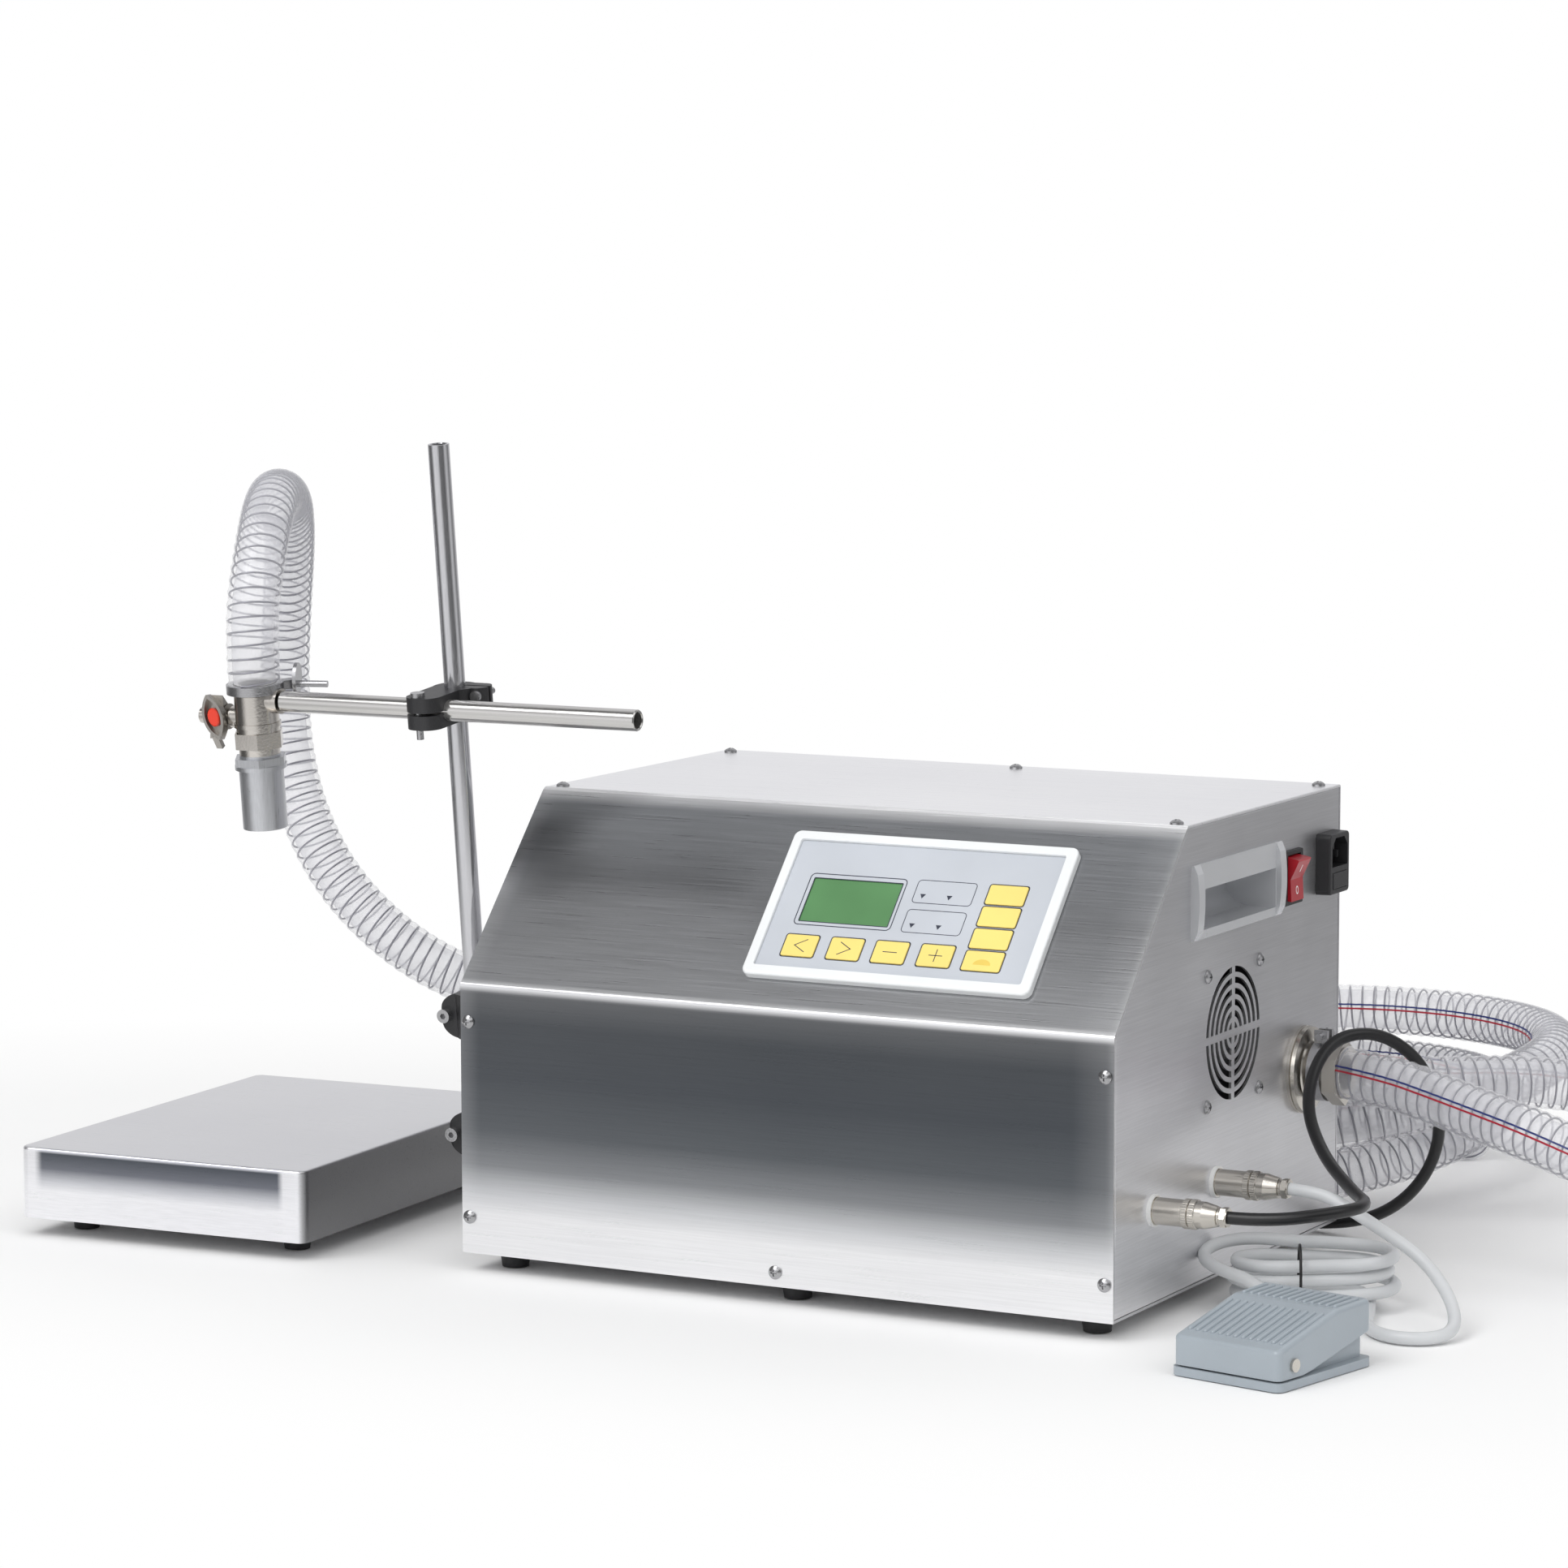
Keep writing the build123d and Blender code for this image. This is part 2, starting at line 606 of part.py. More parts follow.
fan_centre = Plane(spot(FAN_FACE - FAN_DEPTH / 2, *FAN_AT), x_dir=Y_AXIS, z_dir=X_AXIS)
with BuildPart() as fan_blade:
    with BuildSketch(Plane.XY.rotated((35, 0, 0))):
        with Locations(((HUB + FAN_BORE / 2) / 2 - 1, 0)):
            Rectangle(FAN_BORE / 2 - HUB + 2, 17)
    extrude(amount=0.8, both=True)
with BuildPart() as fan_rotor:
    with BuildSketch(fan_centre.offset(-8)):
        Circle(HUB)
    extrude(amount=17)
    with Locations(fan_centre):
        with PolarLocations(0, BLADES):
            add(fan_blade.part)
    with BuildSketch(fan_centre.offset(-8)):
        Circle(FAN_BORE / 2 - 1.2)
    extrude(amount=17, mode=Mode.INTERSECT)
    with BuildSketch(fan_centre.offset(-8)):
        Circle(2 + RUNNING)
    extrude(amount=9.5, mode=Mode.SUBTRACT)
finish(fan_rotor, "fan_rotor")

# Bulkhead fittings, one in each wall. The profile runs outwards along the axis from the wall
PIPE = 13.5
PIPE_BORE = 10.0
DISC = 25.0
NECK = 14.5
HOSE_START = 26.0
CLAMP_BAND = 17.0
port_right = Plane(spot(WIDTH, *PORT_AT), x_dir=Z_AXIS, z_dir=X_AXIS)
port_left = Plane(spot(0, *PORT_AT), x_dir=Z_AXIS, z_dir=(-1, 0, 0))
with BuildPart() as fitting:
    with BuildSketch(Plane.XZ):
        with BuildLine():
            Polyline(
                (PIPE_BORE, -30),
                (PIPE, -30),
                (PIPE, 0),
                (DISC, 0),
                (DISC, 1.8),
                (DISC - 0.8, 2.2),
                (DISC, 2.6),
                (DISC - 0.6, 4.6),
                (NECK + 3, 5.6),
                (NECK, 8),
                (NECK, HOSE_START - 8),
                (PIPE_BORE, HOSE_START - 8),
                close=True,
            )
        make_face()
    revolve(axis=Axis.Z)
    with BuildSketch(Plane.XY.offset(HOSE_START - 8)):
        RegularPolygon(19, 6)
        Circle(PIPE_BORE, mode=Mode.SUBTRACT)
    extrude(amount=8)
    with BuildSketch(Plane.XY.offset(-SHEET)):
        RegularPolygon(21, 6)
        Circle(PIPE - 0.5, mode=Mode.SUBTRACT)
    extrude(amount=-7)
with BuildPart() as hose_fittings:
    with Locations(port_right, port_left):
        add(fitting.part)
finish(hose_fittings, "hose_fittings")

# A band clamp with a lug on its upper side, drawn round the neck of each fitting
with BuildPart() as band_clamp:
    with BuildSketch(Plane.XY.offset(8.5)):
        Circle(CLAMP_BAND)
        Circle(NECK + 0.02, mode=Mode.SUBTRACT)
        for side in (-1, 1):
            with Locations((CLAMP_BAND + 2, side * 3.4)):
                Rectangle(9, 2.4)
        with Locations((CLAMP_BAND + 1, 0)):
            Rectangle(8, 4.4, mode=Mode.SUBTRACT)
    extrude(amount=8)
    with BuildSketch(Plane.XZ.offset(-8)):
        with Locations((CLAMP_BAND + 3, 12.5)):
            Circle(2)
    extrude(amount=16)
    with BuildSketch(Plane.XZ.offset(4.6)):
        with Locations((CLAMP_BAND + 3, 12.5)):
            RegularPolygon(4, 6)
    extrude(amount=3)
with BuildPart() as hose_clamps:
    with Locations(port_right, port_left):
        add(band_clamp.part)
finish(hose_clamps, "hose_clamps")

# Cable connectors: panel socket, two knurled rings and the plug's tapered back
CONNECTOR_LENGTH = 44.0
sockets = [Plane(spot(WIDTH, *at), x_dir=Z_AXIS, z_dir=X_AXIS) for at in SOCKETS_AT]
with BuildPart() as connector:
    with BuildSketch(Plane.XZ):
        with BuildLine():
            Polyline(
                (0, -14),
                (5.8, -14),
                (5.8, -6),
                (8.6, -6),
                (8.6, -SHEET),
                (6.3, -SHEET),
                (6.3, 0),
                (7.9, 0),
                (7.9, 2.4),
                (7.3, 2.4),
                (7.3, 18.6),
                (7.9, 19),
                (7.9, 22.2),
                (7.2, 22.6),
                (7.9, 23),
                (7.9, 26.2),
                (7.3, 26.6),
                (7.3, 30.5),
                (5.5, 38),
                (4.6, 38.4),
                (4.6, 39.4),
                (5.0, 39.8),
                (5.0, CONNECTOR_LENGTH),
                (0, CONNECTOR_LENGTH),
                close=True,
            )
        make_face()
    revolve(axis=Axis.Z)
with BuildPart() as cable_connectors:
    with Locations(*sockets):
        add(connector.part)
finish(cable_connectors, "cable_connectors")

# Stand: two plastic wall clamps, the leaning rod, the cross clamp and the hollow arm
CLAMP_HEIGHT = 26.0
CLAMPS_AT = (-175.0, -245.0)
CLAMP_SCREW_X = -15.5
with BuildPart() as wall_clamp:
    with BuildSketch(Plane.XY.offset(-CLAMP_HEIGHT / 2)) as outline:
        Circle(ROD)
        with Locations((-12, 0)):
            Rectangle(16.4, 17)
        with Locations((17.5, 0)):
            Rectangle(9, 34)
        with Locations((11, 0)):
            Rectangle(10, 20)
        fillet(outline.vertices().group_by(Axis.X)[0], 4)
        Circle(ROD / 2 + RUNNING, mode=Mode.SUBTRACT)
        with Locations((-14, 0)):
            Rectangle(24, 1.6, mode=Mode.SUBTRACT)
    extrude(amount=CLAMP_HEIGHT)
    # A round end, seen from the front
    with BuildSketch(Plane.XZ):
        with Locations((-6.7, 0)):
            Circle(CLAMP_HEIGHT / 2)
        with Locations((8.3, 0)):
            Rectangle(30, CLAMP_HEIGHT)
    extrude(amount=20, both=True, mode=Mode.INTERSECT)
    with Locations(Plane((CLAMP_SCREW_X, 0, 0), x_dir=(1, 0, 0), z_dir=(0, 1, 0))):
        Cylinder(2.05, 40, mode=Mode.SUBTRACT)
with BuildPart() as wall_clamps:
    with Locations(*[on_rod(rise) for rise in CLAMPS_AT]):
        add(wall_clamp.part)
finish(wall_clamps, "wall_clamps")

with BuildPart() as upright_rod:
    with BuildSketch(on_rod(-ROD_BELOW)):
        Circle(ROD / 2)
        Circle(ROD / 2 - ROD_WALL, mode=Mode.SUBTRACT)
    extrude(amount=ROD_BELOW + ROD_ABOVE)
    chamfer(upright_rod.edges().filter_by(GeomType.CIRCLE).sort_by(Axis.Z)[-1], 0.5)
finish(upright_rod, "upright_rod")

# Pinch screws of the wall clamps: socket heads towards the front
with BuildPart() as clamp_screws:
    for rise in CLAMPS_AT:
        middle = on_rod(rise).from_local_coords((CLAMP_SCREW_X, 0, 0))
        toward_front = Plane(middle, x_dir=X_AXIS, z_dir=on_rod(0).y_dir * -1)
        with BuildSketch(toward_front.offset(-11)):
            Circle(2)
        extrude(amount=19.5)
        with BuildSketch(toward_front.offset(8.5)):
            Circle(4)
        extrude(amount=3.6)
        with BuildSketch(toward_front.offset(12.1)):
            RegularPolygon(1.9, 6)
        extrude(amount=-2.2, mode=Mode.SUBTRACT)
        with BuildSketch(toward_front.offset(-8.5)):
            RegularPolygon(3.8, 6)
        extrude(amount=-2.4)
with BuildPart() as screws:
    add(panel_screws.part)
    add(clamp_screws.part)
finish(screws, "screws")

arm_in_rod = on_rod(0).to_local_coords(spot(ROD_X, ARM_Y, ARM_Z))
CROSS_LOW, CROSS_HIGH = arm_in_rod.Z - 8.8, arm_in_rod.Z + 9.2
with BuildPart() as cross_clamp:
    with BuildSketch(on_rod(CROSS_LOW)) as outline:
        Circle(13)
        with Locations((-2, -19)):
            Rectangle(21, 38)
        with Locations((12, 4)):
            Rectangle(16, 15)
        fillet(outline.vertices().group_by(Axis.Y)[0], 9)
        fillet(outline.vertices().group_by(Axis.X)[-1], 6)
        Circle(ROD / 2 + RUNNING, mode=Mode.SUBTRACT)
        with Locations((14, 4)):
            Rectangle(18, 1.6, mode=Mode.SUBTRACT)
    extrude(amount=CROSS_HIGH - CROSS_LOW)
    along_arm = Plane(spot(ROD_X, ARM_Y, ARM_Z), x_dir=Y_AXIS, z_dir=X_AXIS)
    with BuildSketch(along_arm):
        Circle(ROD / 2 + RUNNING)
    extrude(amount=30, both=True, mode=Mode.SUBTRACT)
    with BuildSketch(on_rod(arm_in_rod.Z - 0.8)):
        with Locations((-2, -33)):
            Rectangle(26, 20)
    extrude(amount=1.6, mode=Mode.SUBTRACT)
    with Locations(on_rod(0)):
        with Locations((-4, -33, 0)):
            Cylinder(2.05, 60, mode=Mode.SUBTRACT)
    with Locations(Plane(on_rod(CROSS_HIGH - 4.4).from_local_coords((16, 0, 0)), z_dir=on_rod(0).y_dir)):
        Cylinder(2.05, 60, mode=Mode.SUBTRACT)
finish(cross_clamp, "cross_clamp")

with BuildPart() as cross_clamp_screws:
    upright_screw = Plane(on_rod(CROSS_HIGH).from_local_coords((-4, -33, 0)), z_dir=on_rod(0).z_dir)
    with BuildSketch(upright_screw.offset(-24)):
        Circle(2)
    extrude(amount=24)
    with BuildSketch(upright_screw):
        Circle(4)
    extrude(amount=2.6)
    level_screw = Plane(
        on_rod(CROSS_HIGH - 4.4).from_local_coords((16, -3.5, 0)), z_dir=on_rod(0).y_dir * -1
    )
    with BuildSketch(level_screw.offset(-17)):
        Circle(2)
    extrude(amount=17)
    with BuildSketch(level_screw):
        Circle(3.2)
    extrude(amount=2.2)
finish(cross_clamp_screws, "cross_clamp_screws")

ARM_END = ARM_LEFT + 3.5
with BuildPart() as arm_rod:
    with BuildSketch(Plane(spot(ARM_END, ARM_Y, ARM_Z), x_dir=Y_AXIS, z_dir=X_AXIS)):
        Circle(ROD / 2)
        Circle(ROD / 2 - ROD_WALL, mode=Mode.SUBTRACT)
    extrude(amount=ARM_RIGHT - ARM_END)
    chamfer(arm_rod.edges().filter_by(GeomType.CIRCLE).group_by(Axis.X)[-1], 0.5)
finish(arm_rod, "arm_rod")

# Filling head: valve body with a socket for the arm, spindle with its disc, and the nozzle
BARREL = 12.5
HEAD_BORE = 9.6
SPINDLE = 3.0
SPINDLE_LOW = -10.5
SPINDLE_BOSS = -16.0
HANDLE_X = -24.0
BODY_LOW = -31.0
BODY_HIGH = 10.0
SOCKET = 7.2
spindle_at = on_head(SPINDLE_LOW).origin
with BuildPart() as valve_body:
    with BuildSketch(on_head(BODY_LOW)):
        Circle(BARREL - 0.8)
    extrude(amount=BODY_HIGH - BODY_LOW)
    with BuildSketch(on_head(-18.5)):
        Circle(BARREL)
    extrude(amount=22)
    with BuildSketch(on_head(-27)):
        RegularPolygon(15, 6)
    extrude(amount=9)
    with BuildSketch(on_head(-15)):
        Circle(BARREL + 0.9)
    extrude(amount=2.4)
    with BuildSketch(Plane(spot(HEAD_X, ARM_Y, ARM_Z), x_dir=Y_AXIS, z_dir=X_AXIS)):
        Circle(SOCKET)
    extrude(amount=ARM_LEFT - HEAD_X + 2)
    with BuildSketch(Plane(spindle_at, x_dir=Y_AXIS, z_dir=(-1, 0, 0))):
        Circle(SPINDLE + 3.4)
    extrude(amount=-SPINDLE_BOSS)
    with BuildSketch(on_head(BODY_LOW)):
        Circle(HEAD_BORE)
    extrude(amount=BODY_HIGH - BODY_LOW, mode=Mode.SUBTRACT)
    with BuildSketch(Plane(spot(ARM_END, ARM_Y, ARM_Z), x_dir=Y_AXIS, z_dir=X_AXIS)):
        Circle(ROD / 2 + RUNNING)
    extrude(amount=20, mode=Mode.SUBTRACT)
    with BuildSketch(Plane(spindle_at, x_dir=Y_AXIS, z_dir=(-1, 0, 0))):
        Circle(SPINDLE + RUNNING)
    extrude(amount=30, mode=Mode.SUBTRACT)
finish(valve_body, "valve_body")

with BuildPart() as filling_nozzle:
    with BuildSketch(on_head(BODY_LOW)):
        Circle(BARREL - 0.6)
    extrude(amount=-1.5)
    with BuildSketch(on_head(BODY_LOW - 1.5)):
        RegularPolygon(16, 6)
    extrude(amount=-4.5)
    with BuildSketch(on_head(BODY_LOW - 6)):
        Circle(14.8)
    extrude(amount=-2.4)
    with BuildSketch(on_head(BODY_LOW - 6)):
        Circle(12.75)
    extrude(amount=-37)
    with BuildSketch(on_head(BODY_LOW)):
        Circle(HEAD_BORE)
    extrude(amount=-8, mode=Mode.SUBTRACT)
    with BuildSketch(on_head(BODY_LOW - 8)):
        Circle(BORE / 2)
    extrude(amount=-36, mode=Mode.SUBTRACT)
finish(filling_nozzle, "filling_nozzle")

with BuildPart() as nozzle_hose_clamp:
    with BuildSketch(on_head(4.6)):
        Circle(16.4)
        with Locations((12, 13)):
            Rectangle(12, 7, rotation=47)
        Circle(BARREL + 0.05, mode=Mode.SUBTRACT)
    extrude(amount=5.2)
    with BuildSketch(Plane(spot(HEAD_X, ARM_Y, ARM_Z), x_dir=Y_AXIS, z_dir=X_AXIS)):
        Circle(SOCKET + 0.1)
    extrude(amount=60, both=True, mode=Mode.SUBTRACT)
    wing = Plane(on_head(7.2).from_local_coords((14, 15, 0)), z_dir=(0.95, 0.3, 0))
    with BuildSketch(wing):
        Circle(1.9)
    extrude(amount=22)
    with BuildSketch(wing.offset(3)):
        with Locations((0, 3)):
            Ellipse(7, 9)
    extrude(amount=2)
finish(nozzle_hose_clamp, "nozzle_hose_clamp")

with BuildPart() as valve_spindle:
    along = Plane(spindle_at, x_dir=Y_AXIS, z_dir=(-1, 0, 0))
    with BuildSketch(along.offset(-HEAD_BORE + 1)):
        Circle(SPINDLE - 0.6)
    extrude(amount=HEAD_BORE + 7)
    with BuildSketch(along.offset(8)):
        Circle(SPINDLE)
    extrude(amount=18)
    with BuildSketch(along.offset(-SPINDLE_BOSS + 0.4)):
        Circle(4.6)
    extrude(amount=21)
    with BuildSketch(Plane(spindle_at, x_dir=X_AXIS, z_dir=(0, -cos(radians(LEAN)), -sin(radians(LEAN))))):
        Circle(HEAD_BORE - 0.5)
    extrude(amount=1, both=True)
finish(valve_spindle, "valve_spindle")

# Wing handle: a hollow lens of cast metal in front of the spindle, with ribbed wings to its hub
LENS_HALF, LENS_BULGE, LENS_WALL, LENS_TURN = 13.5, 6.6, 1.6, 20.0
lens_centre = Vector(spindle_at.X + HANDLE_X, spindle_at.Y - 10, spindle_at.Z)
lens = Plane(lens_centre, x_dir=X_AXIS, z_dir=(0, -1, 0)).rotated((0, -LENS_TURN, 0))


def pointed_oval(half, bulge):
    """A pointed oval, half its height and bulge its half width."""
    with BuildSketch() as oval:
        with BuildLine():
            ThreePointArc((0, -half), (bulge, 0), (0, half))
            ThreePointArc((0, half), (-bulge, 0), (0, -half))
        make_face()
    return oval.sketch


lens_outside = pointed_oval(LENS_HALF, LENS_BULGE)
lens_inside = pointed_oval(LENS_HALF - 2.4, LENS_BULGE - LENS_WALL)
with BuildPart() as valve_handle:
    with BuildSketch(lens):
        add(lens_outside)
    extrude(amount=-5)
    for side in (-1, 1):
        with BuildSketch(Plane(lens_centre, x_dir=Y_AXIS, z_dir=X_AXIS)):
            with BuildLine():
                Polyline((4, side * 12.5), (11, side * 5.5), (11, side * 1.5), (4.5, side * 4), close=True)
            make_face()
        extrude(amount=4.5, both=True)
    with BuildSketch(Plane(lens_centre, x_dir=Y_AXIS, z_dir=X_AXIS)):
        with Locations((10, 0)):
            Circle(7.4)
    extrude(amount=5, both=True)
    with BuildSketch(Plane(lens_centre, x_dir=Y_AXIS, z_dir=X_AXIS)):
        with BuildLine():
            Polyline((2, -11.5), (5.5, -11.5), (9.5, -17), (7, -18.5), close=True)
        make_face()
    extrude(amount=2, both=True)
    with BuildSketch(lens):
        add(lens_inside)
    extrude(amount=-3.6, mode=Mode.SUBTRACT)
    with BuildSketch(Plane(spindle_at, x_dir=Y_AXIS, z_dir=(-1, 0, 0))):
        Circle(4.6)
    extrude(amount=60, mode=Mode.SUBTRACT)
finish(valve_handle, "valve_handle")

with BuildPart() as handle_cap:
    with BuildSketch(lens.offset(-3.6)):
        Ellipse(3.9, 5.4)
    extrude(amount=3.2)
    chamfer(handle_cap.faces().sort_by(Axis.Y)[0].edges(), 0.6)
finish(handle_cap, "handle_cap")




# Diaphragm pump inside: motor, wobble housing and head in line with the two wall fittings
PUMP_X, PUMP_Z = 200.0, 96.5
SHAFT = 4.0
with BuildPart() as pump_motor:
    with BuildSketch(facing(80)):
        with Locations((PUMP_X, PUMP_Z)):
            Circle(40)
    extrude(amount=-108)
    with BuildSketch(facing(68)):
        with Locations((PUMP_X, PUMP_Z)):
            Circle(15)
    extrude(amount=-12)
    with BuildSketch(facing(60)):
        with Locations((PUMP_X, PUMP_Z)):
            Circle(SHAFT + RUNNING)
    extrude(amount=-140, mode=Mode.SUBTRACT)
finish(pump_motor, "pump_motor")

with BuildPart() as motor_shaft:
    with BuildSketch(facing(62)):
        with Locations((PUMP_X, PUMP_Z)):
            Circle(SHAFT)
    extrude(amount=-146)
    with BuildSketch(facing(196)):
        with Locations((PUMP_X, PUMP_Z + 3)):
            Circle(13)
    extrude(amount=-12)
finish(motor_shaft, "motor_shaft")

with BuildPart() as pump_head:
    with BuildSketch(facing(188)):
        with Locations((PUMP_X, PUMP_Z)):
            Circle(48)
            Circle(44, mode=Mode.SUBTRACT)
    extrude(amount=-38)
    with BuildSketch(facing(226)):
        with Locations((PUMP_X, PUMP_Z)):
            RectangleRounded(100, 100, 8)
    extrude(amount=-58)
    pump_port = Plane(spot(PUMP_X, *PORT_AT), x_dir=Y_AXIS, z_dir=X_AXIS)
    with BuildSketch(pump_port):
        Circle(PIPE)
    extrude(amount=WIDTH / 2 - 30, both=True)
    with BuildSketch(pump_port.offset(100)):
        RegularPolygon(20, 6)
    extrude(amount=14)
    with BuildSketch(pump_port.offset(-100)):
        RegularPolygon(20, 6)
    extrude(amount=-14)
    with BuildSketch(pump_port):
        Circle(PIPE_BORE)
    extrude(amount=WIDTH / 2, both=True, mode=Mode.SUBTRACT)
finish(pump_head, "pump_head")

with BuildPart() as pump_bracket:
    for depth_at in (92, 160):
        with BuildSketch(facing(depth_at)):
            with Locations((PUMP_X, (PUMP_Z - 40 + SHEET) / 2 + 6)):
                Rectangle(70, PUMP_Z - 40 - SHEET + 12)
            with Locations((PUMP_X, PUMP_Z)):
                Circle(40, mode=Mode.SUBTRACT)
        extrude(amount=-14)
    with BuildSketch(level(SHEET)):
        with Locations((PUMP_X, 133)):
            Rectangle(84, 110)
    extrude(amount=4)
finish(pump_bracket, "pump_bracket")

with BuildPart() as power_supply:
    with BuildSketch(level(SHEET)):
        with Locations((75, 150)):
            Rectangle(90, 160)
    extrude(amount=42)
    with BuildSketch(across(120)):
        for step in range(9):
            with Locations((90 + 15 * step, 22)):
                Rectangle(6, 26)
    extrude(amount=-1.5, mode=Mode.SUBTRACT)
finish(power_supply, "power_supply")

# Weighing platform: base plate, load cell, spider and the hollow pan that lifts off
PAN_SHEET = 1.2
PAN_ROUND = 6.0
SCALE_FOOT = 1.0
PAN_CLEAR = 0.0
SPIDER_TOP = SCALE_HEIGHT - PAN_SHEET


def on_scale(rise):
    """The plane rise above the pan's lower edge, its origin at the platform's front left corner."""
    return Plane(spot(*SCALE_CORNER), z_dir=Z_AXIS).rotated((0, 0, SCALE_TURN)).offset(rise)


scale_middle = (SCALE_WIDTH / 2, SCALE_DEPTH / 2)
ENTRY_V = 258.0
ENTRY_Z = -4.0
with BuildPart() as platform_base:
    with BuildSketch(on_scale(SCALE_FOOT)):
        with Locations(scale_middle):
            RectangleRounded(SCALE_WIDTH - 12, SCALE_DEPTH - 12, 4)
    extrude(amount=2.5)
    with BuildSketch(on_scale(SCALE_FOOT + 2.5)):
        with Locations((scale_middle[0], scale_middle[1] - 50)):
            Rectangle(34, 30)
    extrude(amount=4)
    with BuildSketch(on_scale(SCALE_FOOT)):
        with Locations((scale_middle[0], ENTRY_V - 6)):
            Rectangle(13, 12)
    extrude(amount=-9.5)
finish(platform_base, "platform_base")

CELL_LOW = SCALE_FOOT + 6.5
with BuildPart() as load_cell:
    with BuildSketch(on_scale(CELL_LOW)):
        with Locations(scale_middle):
            Rectangle(30, 130)
    extrude(amount=22)
    cell_side = on_scale(CELL_LOW + 11)
    middle = cell_side.from_local_coords((*scale_middle, 0))
    with BuildSketch(Plane(middle, x_dir=cell_side.y_dir, z_dir=cell_side.x_dir)):
        with Locations((-13, 0), (13, 0)):
            Circle(7.5)
        Rectangle(26, 3)
    extrude(amount=20, both=True, mode=Mode.SUBTRACT)
finish(load_cell, "load_cell")

with BuildPart() as pan_spider:
    with BuildSketch(on_scale(SPIDER_TOP - 4)):
        with Locations(scale_middle):
            Rectangle(24, SCALE_DEPTH - 20)
            Rectangle(SCALE_WIDTH - 16, 24)
    extrude(amount=4)
    with BuildSketch(on_scale(CELL_LOW + 22)):
        with Locations((scale_middle[0], scale_middle[1] + 50)):
            Rectangle(24, 28)
    extrude(amount=SPIDER_TOP - 4 - CELL_LOW - 22)
finish(pan_spider, "pan_spider")

with BuildPart() as weighing_pan:
    with BuildSketch(on_scale(PAN_CLEAR)):
        with Locations(scale_middle):
            RectangleRounded(SCALE_WIDTH, SCALE_DEPTH, PAN_ROUND)
    extrude(amount=SCALE_HEIGHT - PAN_CLEAR)
    fillet(weighing_pan.faces().sort_by(Axis.Z)[-1].edges(), 1.8)
    with BuildSketch(on_scale(PAN_CLEAR)):
        with Locations(scale_middle):
            RectangleRounded(SCALE_WIDTH - 2 * PAN_SHEET, SCALE_DEPTH - 2 * PAN_SHEET, PAN_ROUND - PAN_SHEET)
    extrude(amount=SCALE_HEIGHT - PAN_SHEET - PAN_CLEAR, mode=Mode.SUBTRACT)
finish(weighing_pan, "weighing_pan")

# Foot pedal: base with a hollow body, treadle shell on a hinge pin, and the switch below it
PEDAL_PLATE = 4.5
PEDAL_BODY = 17.0
PIN_V, PIN_RISE, PIN = 14.0, 12.0, 2.0


def on_pedal(rise):
    """The plane rise above the table with its origin at the pedal's front left corner."""
    corner = spot(*PEDAL_CORNER)
    return Plane(Vector(corner.X, corner.Y, 0), z_dir=Z_AXIS).rotated((0, 0, PEDAL_TURN)).offset(rise)


def pedal_side(u):
    """The upright plane along the pedal, u from its left side: x is depth and y is height."""
    floor = on_pedal(0)
    return Plane(floor.from_local_coords((u, 0, 0)), x_dir=floor.y_dir, z_dir=floor.x_dir)


TREAD_FRONT, TREAD_BEND, TREAD_BACK = (1, 20.6), (53, 33.8), (PEDAL_DEPTH, 34.8)
RIB_SETS = ((8, 47), (56, 78))
PEDAL_RIBS = 13
RIB_PITCH = 4.7
RIB_ROUND = 1.25
GLAND = 5.0
GLAND_RISE = 9.0


def tread_rise(v):
    """The height of the treadle's upper face, v from the pedal's front edge."""
    low, high = (TREAD_FRONT, TREAD_BEND) if v < TREAD_BEND[0] else (TREAD_BEND, TREAD_BACK)
    return low[1] + (v - low[0]) * (high[1] - low[1]) / (high[0] - low[0])


def round_rib(length):
    """A bar with round sides and ends, lying along X."""
    with BuildPart() as shape:
        with BuildSketch():
            SlotOverall(length, 2 * RIB_ROUND)
            with Locations((0, -RIB_ROUND)):
                Rectangle(length + 1, 2 * RIB_ROUND, mode=Mode.SUBTRACT)
        revolve(axis=Axis.X)
    return shape.part


def rib_planes(first, last):
    """Planes in the middle of each rib of a set, with x along the rib."""
    low, high = tread_rise(first), tread_rise(last)
    planes = []
    for step in range(PEDAL_RIBS):
        side = pedal_side(PEDAL_WIDTH / 2 + RIB_PITCH * (step - (PEDAL_RIBS - 1) / 2))
        middle = side.from_local_coords(((first + last) / 2, (low + high) / 2, 0))
        along = side.x_dir * (last - first) + side.y_dir * (high - low)
        planes.append(Plane(middle, x_dir=along.normalized(), z_dir=side.z_dir))
    return planes


